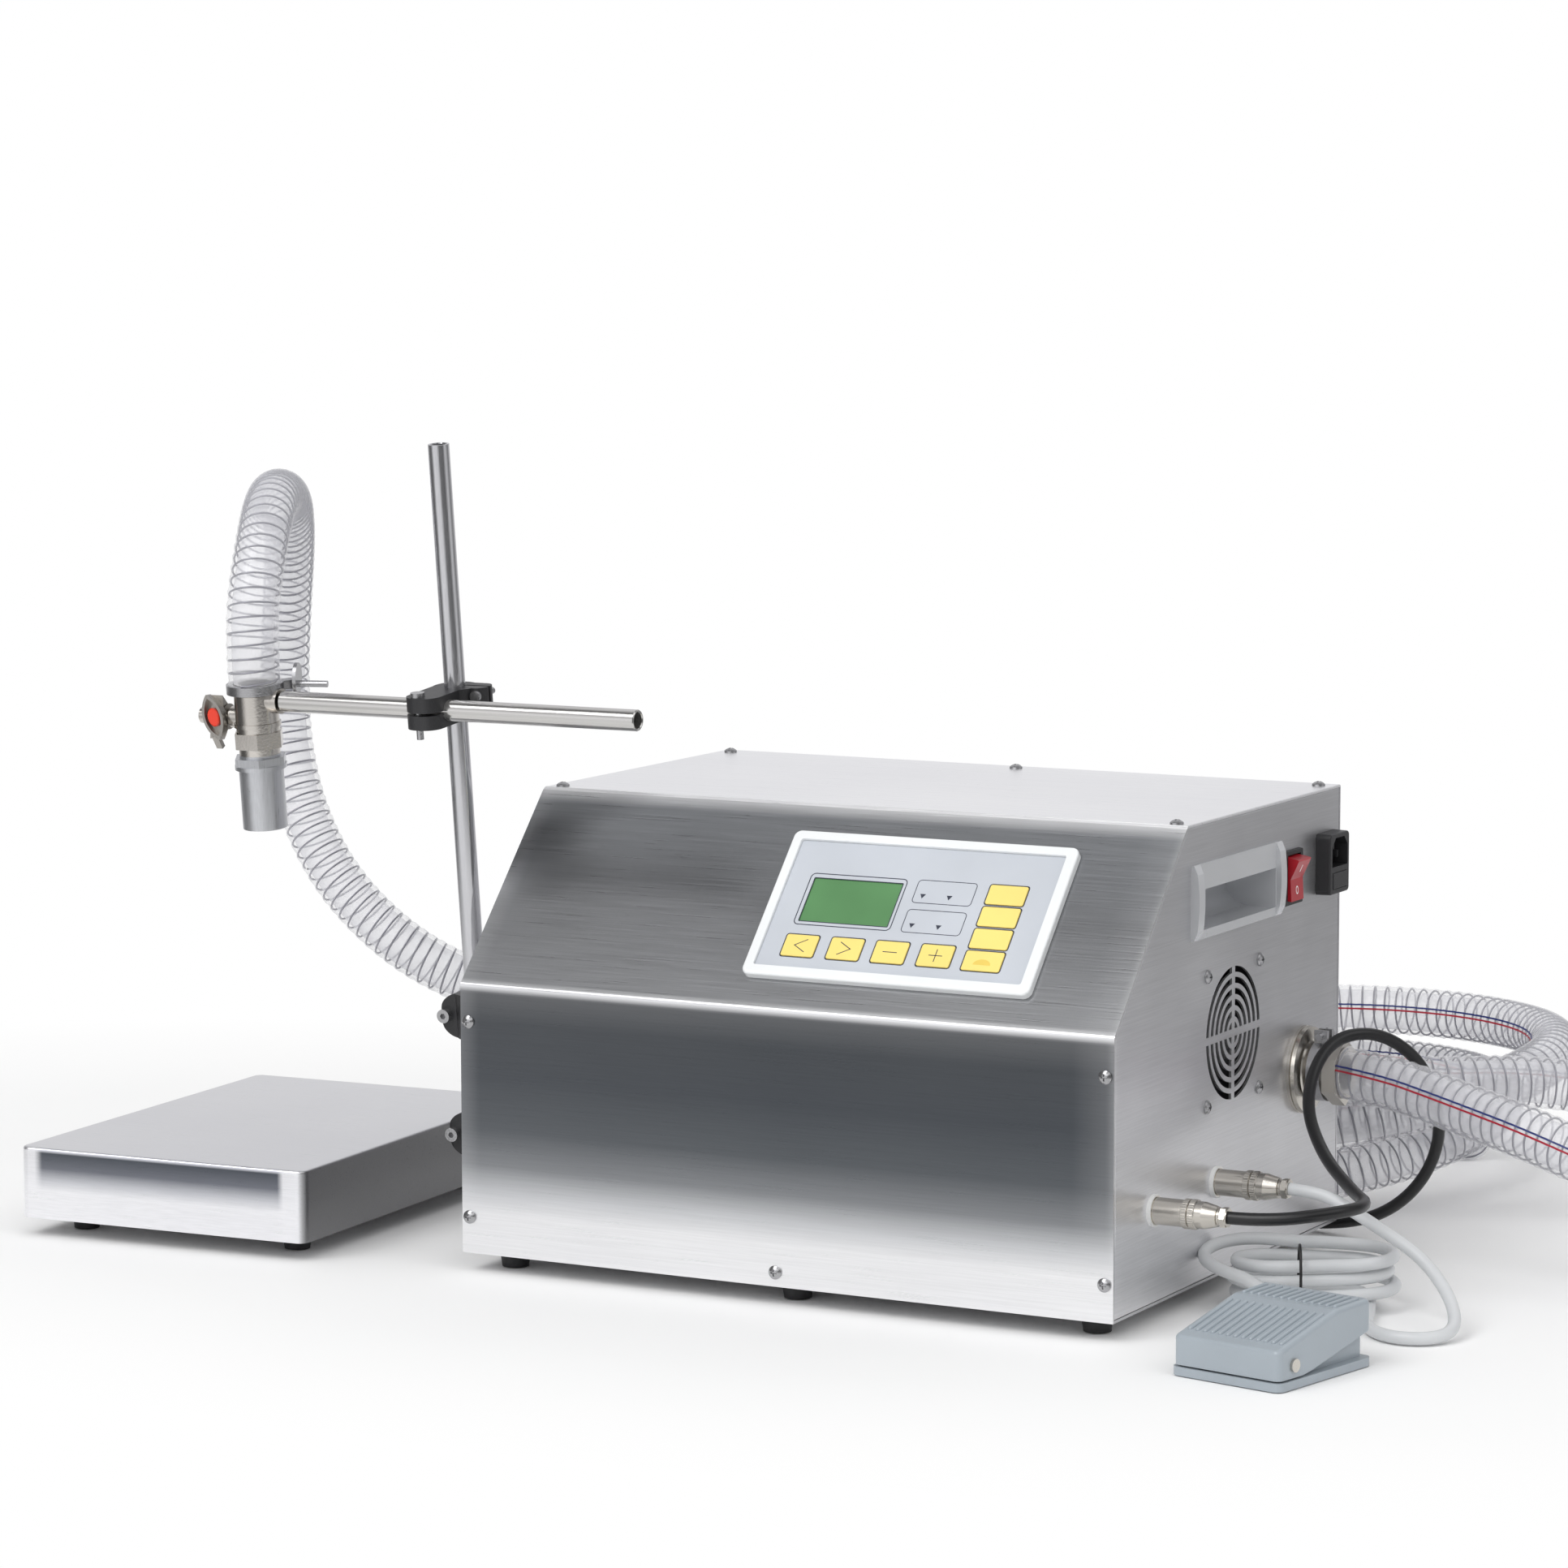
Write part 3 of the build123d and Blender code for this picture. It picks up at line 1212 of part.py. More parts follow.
with BuildPart() as pedal_base:
    with BuildSketch(on_pedal(0)):
        with Locations((PEDAL_WIDTH / 2, PEDAL_DEPTH / 2)):
            RectangleRounded(PEDAL_WIDTH, PEDAL_DEPTH, 5)
    extrude(amount=PEDAL_PLATE)
    with BuildSketch(on_pedal(PEDAL_PLATE)):
        with Locations((PEDAL_WIDTH / 2, 44.5)):
            Rectangle(PEDAL_WIDTH - 11, 71)
            Rectangle(PEDAL_WIDTH - 17, 65, mode=Mode.SUBTRACT)
    extrude(amount=PEDAL_BODY - PEDAL_PLATE)
    with BuildSketch(pedal_side(0)):
        with Locations((PIN_V, PIN_RISE)):
            Circle(PIN + RUNNING)
    extrude(amount=PEDAL_WIDTH, mode=Mode.SUBTRACT)
    gland_floor = on_pedal(GLAND_RISE).from_local_coords((PEDAL_WIDTH / 2, PEDAL_DEPTH - 8.5, 0))
    gland_plane = Plane(gland_floor, x_dir=on_pedal(0).x_dir, z_dir=on_pedal(0).y_dir)
    with BuildSketch(gland_plane):
        Circle(GLAND)
    extrude(amount=10.5)
finish(pedal_base, "pedal_base")

rib_shapes = [round_rib(last - first) for first, last in RIB_SETS]
with BuildPart() as pedal_treadle:
    with BuildSketch(pedal_side(1)):
        with BuildLine():
            Polyline(
                (1, 5.4),
                TREAD_FRONT,
                TREAD_BEND,
                TREAD_BACK,
                (PEDAL_DEPTH, 19),
                (30, 6.6),
                (22, 5.4),
                close=True,
            )
        make_face()
    extrude(amount=PEDAL_WIDTH - 2)
    fillet(pedal_treadle.edges().filter_by(Axis.Z), 4)
    level_edges = pedal_treadle.edges().filter_by(Axis.Z, reverse=True)
    fillet(level_edges.filter_by(lambda edge: edge.center().Z > 19.8), 2.5)
    with BuildSketch(pedal_side(3.6)):
        with BuildLine():
            Polyline(
                (3.6, 0),
                (3.6, 18.4),
                (53.5, 31.1),
                (PEDAL_DEPTH - 2.6, 32.1),
                (PEDAL_DEPTH - 2.6, 0),
                close=True,
            )
        make_face()
    extrude(amount=PEDAL_WIDTH - 7.2, mode=Mode.SUBTRACT)
    with BuildSketch(pedal_side(0)):
        with Locations((PIN_V, PIN_RISE)):
            Circle(PIN + RUNNING)
    extrude(amount=PEDAL_WIDTH, mode=Mode.SUBTRACT)
    for (first, last), shape in zip(RIB_SETS, rib_shapes):
        with Locations(*rib_planes(first, last)):
            add(shape)
finish(pedal_treadle, "pedal_treadle")

with BuildPart() as pedal_hinge_pin:
    with BuildSketch(pedal_side(0.9)):
        with Locations((PIN_V, PIN_RISE)):
            Circle(PIN)
    extrude(amount=PEDAL_WIDTH - 1.8)
    with BuildSketch(pedal_side(0.9)):
        with Locations((PIN_V, PIN_RISE)):
            Circle(3.5)
    extrude(amount=-1.4)
    with BuildSketch(pedal_side(PEDAL_WIDTH - 0.9)):
        with Locations((PIN_V, PIN_RISE)):
            Circle(3.5)
    extrude(amount=1.4)
finish(pedal_hinge_pin, "pedal_hinge_pin")

with BuildPart() as pedal_switch:
    with BuildSketch(on_pedal(PEDAL_PLATE)):
        with Locations((PEDAL_WIDTH / 2, 58)):
            Rectangle(10, 28)
    extrude(amount=16)
finish(pedal_switch, "pedal_switch")

# Hoses and cables
HOSE_RADIUS = HOSE / 2
CABLE_RADIUS = CABLE / 2
DISCHARGE = [
    (-142.4, 11.52, 313.25),
    (-142.4, 7.74, 348.04),
    (-147, 26, 388),
    (-166, 66, 416),
    (-193, 122, 413),
    (-221, 168, 385),
    (-243, 196, 340),
    (-253, 207, 290),
    (-250, 206, 248),
    (-233, 199, 207),
    (-205, 196, 168),
    (-165, 203, 133),
    (-124, 220, 111),
    (-90, 238, 101.5),
    (-58, 251, 97.6),
    (-26, 256, 96.5),
]
SUCTION = [
    (426, 256, 96.5),
    (456, 252.5, 93.5),
    (486, 246, 87.5),
    (516, 236.5, 82),
    (546, 225, 77),
    (577, 214.5, 70),
    (612, 211, 59),
    (650, 222, 44),
    (680, 248, 28),
    (697, 284, 15.5),
    (700, 324, 8),
    (688, 364, 8.5),
    (662, 398, 17),
    (626, 422, 31),
    (586, 434, 46),
    (546, 433, 60),
    (508, 418, 70),
    (476, 395, 74.5),
    (450, 372, 75),
]
GREY_LEAD = [
    (444, 133, 53),
    (462, 133.1, 52.7),
    (480, 132, 45),
    (500, 131, 35),
    (521, 127.5, 25),
    (540, 116, 12),
    (553, 100, 0),
    (556, 84, -5.5),
    (548, 70.5, -6.5),
    (532.5, 66, -6.5),
    (518, 73, -6.5),
    (508, 86, -6.5),
    (502, 101, -6.5),
    (497, 116.5, -6.5),
]
GREY_TAIL = [
    (506.3, 26.2, -1),
    (509.9, 42.6, -1.1),
    (506.5, 58, -5),
    (496, 71.5, -6.5),
    (481, 80, -6),
    (464, 86, -2),
    (450, 93, 3),
]
BLACK = [
    (444, 50, 52),
    (466, 50.1, 52.1),
    (497, 66, 56.3),
    (506, 94, 56.5),
    (482, 130, 55),
    (450, 162, 68),
    (428, 190, 92),
    (428, 222, 120),
    (448, 246, 124),
    (466, 272, 104),
    (470, 292, 68),
    (464, 296, 42),
    (448, 300, 20),
    (424, 308, 4),
    (392, 320, -5),
    (350, 323, -6.5),
    (298, 319, -6.5),
    (246, 322, -6.5),
    (192, 319, -6.5),
    (138, 321.5, -6.5),
    (84, 319, -6.5),
    (30, 322, -6.5),
    (-24, 319, -6.5),
    (-76, 325, -6.5),
    (-124, 322, -6.5),
    (-164, 308, -6.5),
    (-192, 284, -5.5),
    (-200.14, 258, ENTRY_Z),
    (-198.6, 228.6, ENTRY_Z),
]


def bend_radii(points):
    """One radius per inner point: 0.45 of the shorter run over the tangent of half the turn."""
    radii = []
    for before, at, after in zip(points, points[1:], points[2:]):
        arriving = Vector(*at) - Vector(*before)
        leaving = Vector(*after) - Vector(*at)
        turn = radians(arriving.get_angle(leaving))
        radii.append(0.45 * min(arriving.length, leaving.length) / tan(turn / 2))
    return radii


def centreline(points):
    """Straight runs joined by tangent arcs through the room positions."""
    return FilletPolyline(*[spot(*p) for p in points], radius=bend_radii(points))


def tube(points, radius, name):
    """One solid of circular section along a centreline, printed with its tightest bend."""
    with BuildPart() as cord:
        with BuildLine():
            route = centreline(points)
        with BuildSketch(Plane(route @ 0, z_dir=route % 0)):
            Circle(radius)
        sweep(path=route)
    length = route.length
    print(name, "length", round(length), "least radius", round(min(bend_radii(points)), 1),
          "volume ratio", round(cord.part.volume / (pi * radius**2 * length), 4))
    return cord


discharge_hose = tube(DISCHARGE, HOSE_RADIUS, "discharge_hose")
finish(discharge_hose, "discharge_hose")

suction_hose = tube(SUCTION, HOSE_RADIUS, "suction_hose")
finish(suction_hose, "suction_hose")

black_cable = tube(BLACK, CABLE_RADIUS, "black_cable")
finish(black_cable, "black_cable")

grey_lead = tube(GREY_LEAD, CABLE_RADIUS, "grey_lead")
grey_tail = tube(GREY_TAIL, CABLE_RADIUS, "grey_tail")
with BuildPart() as grey_cable:
    add(grey_lead.part)
    add(grey_tail.part)
finish(grey_cable, "grey_cable")

# Loose coil of the suction hose behind the cabinet: three turns that fan out, each a ring one
# hose thick, given as the ring's middle, its two half widths and the height it starts at
COIL_TURNS = [((290, 490), (112, 140), -10), ((306, 482), (122, 140), 21), ((335, 468), (135, 135), 54)]
COIL_THICK = (31.0, 33.0, 37.0)
with BuildPart() as suction_hose_coil:
    for (middle, halves, low), thick in zip(COIL_TURNS, COIL_THICK):
        with BuildSketch(level(low)):
            with Locations((middle[0], middle[1])):
                Ellipse(halves[0] + HOSE_RADIUS, halves[1] + HOSE_RADIUS)
                Ellipse(halves[0] - HOSE_RADIUS, halves[1] - HOSE_RADIUS, mode=Mode.SUBTRACT)
        extrude(amount=thick)
finish(suction_hose_coil, "suction_hose_coil")

# The pedal's cable is tied into a flat hank beside the pedal
HANK_MIDDLE, HANK_TURN = (456, 131), 26.0
HANK_LONG, HANK_WIDE, HANK_HIGH = 116.0, 62.0, 36.0
with BuildPart() as grey_cable_hank:
    with BuildSketch(Plane(spot(*HANK_MIDDLE, -FOOT_HEIGHT), z_dir=Z_AXIS)):
        SlotOverall(HANK_LONG, HANK_WIDE, rotation=HANK_TURN)
    extrude(amount=HANK_HIGH)
    fillet(grey_cable_hank.edges().group_by(Axis.Z)[-1], 5)
finish(grey_cable_hank, "grey_cable_hank")
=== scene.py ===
from math import atan2, cos, pi, radians, sin, sqrt

import bmesh
import bpy
from mathutils import Matrix, Vector


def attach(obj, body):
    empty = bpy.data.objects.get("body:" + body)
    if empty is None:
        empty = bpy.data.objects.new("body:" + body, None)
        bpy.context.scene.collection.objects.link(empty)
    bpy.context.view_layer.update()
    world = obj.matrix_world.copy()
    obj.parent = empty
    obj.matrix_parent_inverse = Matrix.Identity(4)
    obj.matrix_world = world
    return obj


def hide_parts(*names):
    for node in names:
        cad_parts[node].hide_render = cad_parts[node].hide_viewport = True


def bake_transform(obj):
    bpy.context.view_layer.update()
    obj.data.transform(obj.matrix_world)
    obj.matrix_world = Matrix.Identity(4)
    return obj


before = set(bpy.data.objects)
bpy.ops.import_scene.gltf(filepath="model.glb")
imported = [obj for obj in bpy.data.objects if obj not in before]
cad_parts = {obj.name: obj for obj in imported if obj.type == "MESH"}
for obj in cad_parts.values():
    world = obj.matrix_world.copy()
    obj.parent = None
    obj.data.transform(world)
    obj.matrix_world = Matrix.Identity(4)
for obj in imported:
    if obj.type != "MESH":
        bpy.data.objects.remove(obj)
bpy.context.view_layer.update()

# House coordinates are millimetres from the cabinet's front left lower corner: x to the right,
# y to the back and z up. spot() turns them into metres in the row frame.
LEFT, FRONT, FOOT_HEIGHT = -120.8, -121.7, 10.0
HEIGHT, FRONT_HEIGHT, SETBACK = 253.0, 152.0, 93.0
SLOPE = atan2(HEIGHT - FRONT_HEIGHT, SETBACK)
HOSE, CABLE = 31.0, 7.0


def spot(x, y, z):
    return Vector((LEFT + x, FRONT + y, FOOT_HEIGHT + z)) / 1000


# Meshes


def mesh_object(name, vertices, faces, materials, indices=None, smooth=True):
    """A mesh object from vertices in metres, with one material index for each face."""
    mesh = bpy.data.meshes.new(name)
    mesh.from_pydata([tuple(v) for v in vertices], [], faces)
    for material in materials:
        mesh.materials.append(material)
    for number, face in enumerate(mesh.polygons):
        face.use_smooth = smooth
        if indices:
            face.material_index = indices[number]
    mesh.update()
    made = bpy.data.objects.new(name, mesh)
    bpy.context.collection.objects.link(made)
    return made


def smooth_path(points, steps=10):
    """Points along the smooth spline through a cord's room positions, in metres."""
    curve = bpy.data.curves.new("route", "CURVE")
    curve.dimensions = "3D"
    curve.resolution_u = steps
    spline = curve.splines.new("NURBS")
    spline.points.add(len(points) - 1)
    for place, point in zip(points, spline.points):
        point.co = (*spot(*place), 1)
    spline.order_u = 3
    spline.use_endpoint_u = True
    holder = bpy.data.objects.new("route", curve)
    mesh = bpy.data.meshes.new_from_object(holder)
    line = [v.co.copy() for v in mesh.vertices]
    bpy.data.meshes.remove(mesh)
    bpy.data.objects.remove(holder)
    return line


def resampled(line, step):
    """The same line with points a fixed distance apart, and that distance's share of it."""
    total = sum((b - a).length for a, b in zip(line, line[1:]))
    count = max(2, round(total / step))
    wanted = [total * i / count for i in range(count + 1)]
    out, walked, at = [], 0.0, 0
    for distance in wanted:
        while at < len(line) - 2 and walked + (line[at + 1] - line[at]).length < distance:
            walked += (line[at + 1] - line[at]).length
            at += 1
        span = (line[at + 1] - line[at]).length
        share = min(1.0, (distance - walked) / span) if span else 0.0
        out.append(line[at].lerp(line[at + 1], share))
    return out, total


def frames_along(line):
    """A pair of side directions at each point, carried along the line without twist."""
    tangents = []
    for i in range(len(line)):
        before, after = line[max(0, i - 1)], line[min(len(line) - 1, i + 1)]
        tangents.append((after - before).normalized())
    start = Vector((0, 0, 1)) if abs(tangents[0].z) < 0.9 else Vector((0, -1, 0))
    side = (start - tangents[0] * start.dot(tangents[0])).normalized()
    out = []
    for tangent in tangents:
        side = (side - tangent * side.dot(tangent)).normalized()
        out.append((side, tangent.cross(side)))
    return out


def tube_rings(line, frames, radius, sides, radii=None):
    """Rings of vertices round a line."""
    rings = []
    for i, (point, (side, other)) in enumerate(zip(line, frames)):
        r = radii[i] if radii else radius
        rings.append([point + (side * cos(2 * pi * k / sides) + other * sin(2 * pi * k / sides)) * r
                      for k in range(sides)])
    return rings


def add_rings(vertices, faces, indices, rings, index, flip=False, wrap=True):
    """Join rings into a skin and append it to a mesh in the making."""
    base, sides = len(vertices), len(rings[0])
    for ring in rings:
        vertices.extend(ring)
    for i in range(len(rings) - 1):
        for k in range(sides if wrap else sides - 1):
            a = base + i * sides + k
            b = base + i * sides + (k + 1) % sides
            quad = (a, b, b + sides, a + sides)
            faces.append(quad[::-1] if flip else quad)
            indices.append(index)


# Materials


def new_material(name):
    material = bpy.data.materials.new(name)
    material.use_nodes = True
    nodes = material.node_tree.nodes
    return material, nodes, material.node_tree.links, nodes["Principled BSDF"]


def stretched_noise(nodes, links, scale, stretch, detail=4.0):
    """Noise in object coordinates, squeezed or drawn out along each axis."""
    place = nodes.new("ShaderNodeTexCoord")
    mapping = nodes.new("ShaderNodeMapping")
    mapping.inputs["Scale"].default_value = stretch
    noise = nodes.new("ShaderNodeTexNoise")
    noise.inputs["Scale"].default_value = scale
    noise.inputs["Detail"].default_value = detail
    links.new(place.outputs["Object"], mapping.inputs["Vector"])
    links.new(mapping.outputs["Vector"], noise.inputs["Vector"])
    return noise


def ramp(nodes, links, source, stops):
    made = nodes.new("ShaderNodeValToRGB")
    elements = made.color_ramp.elements
    while len(elements) < len(stops):
        elements.new(0.5)
    for element, (place, colour) in zip(elements, stops):
        element.position = place
        element.color = (*colour, 1)
    links.new(source, made.inputs["Fac"])
    return made


def add_bump(nodes, links, source, shader, strength, distance=0.0004):
    bump = nodes.new("ShaderNodeBump")
    bump.inputs["Strength"].default_value = strength
    bump.inputs["Distance"].default_value = distance
    links.new(source, bump.inputs["Height"])
    links.new(bump.outputs["Normal"], shader.inputs["Normal"])


def moulded(name, colour, roughness=0.45, grain=900.0, strength=0.15, spread=0.06, coat=0.0, metallic=0.0):
    """Moulded or coated material: fine grain, small changes of tone, uneven gloss."""
    material, nodes, links, shader = new_material(name)
    tone = stretched_noise(nodes, links, 18, (1, 1, 1), 3)
    darker = tuple(c * (1 - spread) for c in colour)
    lighter = tuple(min(1, c * (1 + spread)) for c in colour)
    mixed = ramp(nodes, links, tone.outputs["Fac"], [(0.3, darker), (0.7, lighter)])
    links.new(mixed.outputs["Color"], shader.inputs["Base Color"])
    fine = stretched_noise(nodes, links, grain, (1, 1, 1), 2)
    gloss = nodes.new("ShaderNodeMapRange")
    gloss.inputs["To Min"].default_value = max(0.02, roughness - 0.06)
    gloss.inputs["To Max"].default_value = roughness + 0.06
    links.new(tone.outputs["Fac"], gloss.inputs["Value"])
    links.new(gloss.outputs["Result"], shader.inputs["Roughness"])
    shader.inputs["Metallic"].default_value = metallic
    shader.inputs["Coat Weight"].default_value = coat
    add_bump(nodes, links, fine.outputs["Fac"], shader, strength)
    return material


# Brushing: fineness of its lines across and along; face directions taking painted reflection and shade
ACROSS_LINES, ALONG_LINES = 140.0, 2.2
PAINTED_LIGHT_FACING, PAINTED_SHADE_FACING = (-0.35, -0.62), (0.4, 0.9)


def brushed(name, colour, along, roughness=0.32, contrast=0.07, painted_light=None, cloud=0.93):
    """Brushed sheet: fine lines along one axis and a cloudy tone, with painted reflection and painted shade
    where a gradient is given.

    The painted light is given as (axis, low, high, stops, ends, side, top): the stops are painted
    reflection and highlight bands on the faces that look to the front between low and high on its
    axis, ends holds that back towards the sheet's ends, and side and top are painted shade tones of
    the faces that look right and up.
    """
    material, nodes, links, shader = new_material(name)
    squeeze = [ACROSS_LINES] * 3
    squeeze["xyz".index(along)] = ALONG_LINES
    lines = stretched_noise(nodes, links, 9, squeeze, 5)
    clouds = stretched_noise(nodes, links, 5, (1, 1, 1), 3)
    dark = tuple(c * (1 - contrast) for c in colour)
    light = tuple(min(1, c * (1 + contrast)) for c in colour)
    tint = ramp(nodes, links, lines.outputs["Fac"], [(0.25, dark), (0.75, light)])
    clouded = nodes.new("ShaderNodeMixRGB")
    clouded.blend_type = "MULTIPLY"
    clouded.inputs["Fac"].default_value = 1.0
    soft = ramp(nodes, links, clouds.outputs["Fac"], [(0.3, (cloud, cloud, cloud * 1.01)), (0.7, (1, 1, 1))])
    links.new(tint.outputs["Color"], clouded.inputs["Color1"])
    links.new(soft.outputs["Color"], clouded.inputs["Color2"])
    colour_out = clouded.outputs["Color"]
    # Painted reflection and highlight bands up the front faces, held back towards the sheet's ends
    if painted_light:
        axis, low, high, stops, ends, side, top = painted_light
        place = nodes.new("ShaderNodeTexCoord")
        split = nodes.new("ShaderNodeSeparateXYZ")
        spread = nodes.new("ShaderNodeMapRange")
        spread.inputs["From Min"].default_value = low
        spread.inputs["From Max"].default_value = high
        links.new(place.outputs["Object"], split.inputs["Vector"])
        links.new(split.outputs[axis], spread.inputs["Value"])
        shade = ramp(nodes, links, spread.outputs["Result"], stops)
        graded = nodes.new("ShaderNodeMixRGB")
        graded.blend_type = "MULTIPLY"
        front = nodes.new("ShaderNodeSeparateXYZ")
        links.new(place.outputs["Normal"], front.inputs["Vector"])
        toward = nodes.new("ShaderNodeMapRange")
        toward.inputs["From Min"].default_value = PAINTED_LIGHT_FACING[0]
        toward.inputs["From Max"].default_value = PAINTED_LIGHT_FACING[1]
        links.new(front.outputs["Y"], toward.inputs["Value"])
        share = toward.outputs["Result"]
        if ends:
            across = nodes.new("ShaderNodeMapRange")
            across.inputs["From Min"].default_value = ends[0]
            across.inputs["From Max"].default_value = ends[1]
            links.new(split.outputs["X"], across.inputs["Value"])
            grey = [(at, (tone, tone, tone)) for at, tone in ends[2]]
            kept = ramp(nodes, links, across.outputs["Result"], grey)
            both = nodes.new("ShaderNodeMath")
            both.operation = "MULTIPLY"
            links.new(share, both.inputs[0])
            links.new(kept.outputs["Color"], both.inputs[1])
            share = both.outputs["Value"]
        links.new(share, graded.inputs["Fac"])
        links.new(colour_out, graded.inputs["Color1"])
        links.new(shade.outputs["Color"], graded.inputs["Color2"])
        colour_out = graded.outputs["Color"]
        # Painted shade on the faces that look right and up
        for direction, tone in (("X", side), ("Z", top)):
            facing = nodes.new("ShaderNodeMapRange")
            facing.inputs["From Min"].default_value = PAINTED_SHADE_FACING[0]
            facing.inputs["From Max"].default_value = PAINTED_SHADE_FACING[1]
            links.new(front.outputs[direction], facing.inputs["Value"])
            turned = nodes.new("ShaderNodeMixRGB")
            turned.blend_type = "MULTIPLY"
            turned.inputs["Color2"].default_value = (tone, tone, tone, 1)
            links.new(facing.outputs["Result"], turned.inputs["Fac"])
            links.new(colour_out, turned.inputs["Color1"])
            colour_out = turned.outputs["Color"]
    links.new(colour_out, shader.inputs["Base Color"])
    shader.inputs["Metallic"].default_value = 0.9
    gloss = nodes.new("ShaderNodeMapRange")
    gloss.inputs["To Min"].default_value = roughness - 0.07
    gloss.inputs["To Max"].default_value = roughness + 0.07
    links.new(lines.outputs["Fac"], gloss.inputs["Value"])
    links.new(gloss.outputs["Result"], shader.inputs["Roughness"])
    add_bump(nodes, links, lines.outputs["Fac"], shader, 0.12, 0.0003)
    return material


def clear_plastic(name, tint, body, rim):
    """Clear tube: mostly see-through face on, milky and shiny towards its edges."""
    material, nodes, links, shader = new_material(name)
    shader.inputs["Base Color"].default_value = (*tint, 1)
    shader.inputs["Roughness"].default_value = 0.12
    shader.inputs["Specular IOR Level"].default_value = 0.6
    cloud = stretched_noise(nodes, links, 60, (1, 1, 1), 3)
    facing = nodes.new("ShaderNodeLayerWeight")
    facing.inputs["Blend"].default_value = 0.42
    edge = nodes.new("ShaderNodeMapRange")
    edge.inputs["To Min"].default_value = body
    edge.inputs["To Max"].default_value = rim
    links.new(facing.outputs["Facing"], edge.inputs["Value"])
    uneven = nodes.new("ShaderNodeMath")
    uneven.operation = "MULTIPLY_ADD"
    uneven.inputs[1].default_value = 0.1
    links.new(cloud.outputs["Fac"], uneven.inputs[0])
    links.new(edge.outputs["Result"], uneven.inputs[2])
    links.new(uneven.outputs["Value"], shader.inputs["Alpha"])
    add_bump(nodes, links, cloud.outputs["Fac"], shader, 0.1, 0.0005)
    return material


# Painted reflection on the cabinet front from the bottom edge to the top edge, light below and dark above,
# with a painted highlight for the fold's bright line between them
low_z, high_z = FOOT_HEIGHT / 1000, (FOOT_HEIGHT + HEIGHT) / 1000
front_painted_light = [
    (0.0, (1.0, 1.0, 1.0)),
    (0.09, (0.96, 0.96, 0.96)),
    (0.14, (0.66, 0.67, 0.68)),
    (0.20, (0.27, 0.28, 0.29)),
    (0.28, (0.12, 0.13, 0.14)),
    (0.40, (0.082, 0.09, 0.10)),
    (0.52, (0.085, 0.092, 0.10)),
    (0.585, (0.15, 0.155, 0.16)),
    (0.598, (0.95, 0.95, 0.95)),
    (0.613, (0.33, 0.335, 0.34)),
    (0.80, (0.23, 0.235, 0.24)),
    (0.97, (0.27, 0.28, 0.29)),
    (1.0, (0.9, 0.9, 0.9)),
]
# How much of the front's painted light each part of its width takes, less at its left and right ends
front_painted_light_ends = (-0.121, 0.279, [(0.0, 0.86), (0.03, 0.98), (0.5, 1.0), (0.94, 1.0), (0.99, 0.92), (1.0, 0.8)])
# The front steel takes the painted light; its faces that look right get a painted shade of 0.8
steel_front = brushed("steel_front", (0.90, 0.90, 0.91), "x", 0.3, 0.05,
                      ("Z", low_z, high_z, front_painted_light, front_painted_light_ends, 0.8, 1.0))
# Side and back panels: the same steel as the top in a darker tone, a painted shade
steel_side_painted_shade = brushed("steel_side_painted_shade", (0.80, 0.80, 0.815), "y", 0.34, cloud=0.72)
steel_top = brushed("steel_top", (0.95, 0.95, 0.97), "x", 0.3)
steel_plain = brushed("steel_plain", (0.6, 0.6, 0.61), "x", 0.42)
# Pan front: painted reflection, light below and a dark band, with a painted highlight for the bright edge
# above
PAN_LOW, PAN_HIGH = 0.010, 0.0516
pan_painted_light = [
    (0.0, (1.0, 1.0, 1.0)),
    (0.40, (0.98, 0.98, 0.98)),
    (0.56, (0.62, 0.63, 0.65)),
    (0.72, (0.20, 0.21, 0.235)),
    (0.93, (0.10, 0.11, 0.125)),
    (0.97, (0.85, 0.86, 0.9)),
    (1.0, (0.95, 0.96, 1.0)),
]
# How much of the pan's painted light each part of its width takes, almost none at its ends
pan_painted_light_fade = [(0.0, 0.05), (0.055, 0.1), (0.08, 1.0), (0.91, 1.0), (0.93, 0.1), (1.0, 0.05)]
pan_painted_light_ends = (-0.4008, -0.2110, pan_painted_light_fade)
# The pan's faces that look right get a painted shade of 0.24 and those that look up one of 0.80
steel_pan = brushed("steel_pan", (0.93, 0.93, 0.95), "x", 0.3, 0.05,
                    ("Z", PAN_LOW, PAN_HIGH, pan_painted_light, pan_painted_light_ends, 0.24, 0.80))
polished = brushed("polished_steel", (0.62, 0.61, 0.59), "x", 0.14, 0.03)
rod_steel = brushed("rod_steel", (0.62, 0.62, 0.64), "z", 0.14, 0.05)
nozzle_steel = brushed("nozzle_steel", (0.60, 0.61, 0.63), "z", 0.3, 0.08)
valve_metal = moulded("valve_metal", (0.62, 0.59, 0.55), 0.2, 700, 0.12, 0.14, metallic=1.0)
aluminium = moulded("aluminium", (0.70, 0.71, 0.73), 0.26, 900, 0.1, 0.03, metallic=0.6)
zinc = moulded("zinc_plated", (0.42, 0.42, 0.43), 0.25, 700, 0.2, 0.08, metallic=0.9)
nickel = moulded("nickel", (0.60, 0.57, 0.52), 0.22, 1200, 0.06, 0.1, metallic=1.0)
cast_metal = moulded("cast_metal", (0.42, 0.40, 0.37), 0.3, 500, 0.3, 0.16, metallic=0.9)
wire = moulded("spring_wire", (0.26, 0.26, 0.30), 0.32, 900, 0.1, 0.1, metallic=0.5)
clear = clear_plastic("clear_tube", (0.95, 0.95, 0.98), 0.05, 0.42)
clear_inner = clear_plastic("clear_tube_inside", (0.93, 0.93, 0.97), 0.26, 0.5)
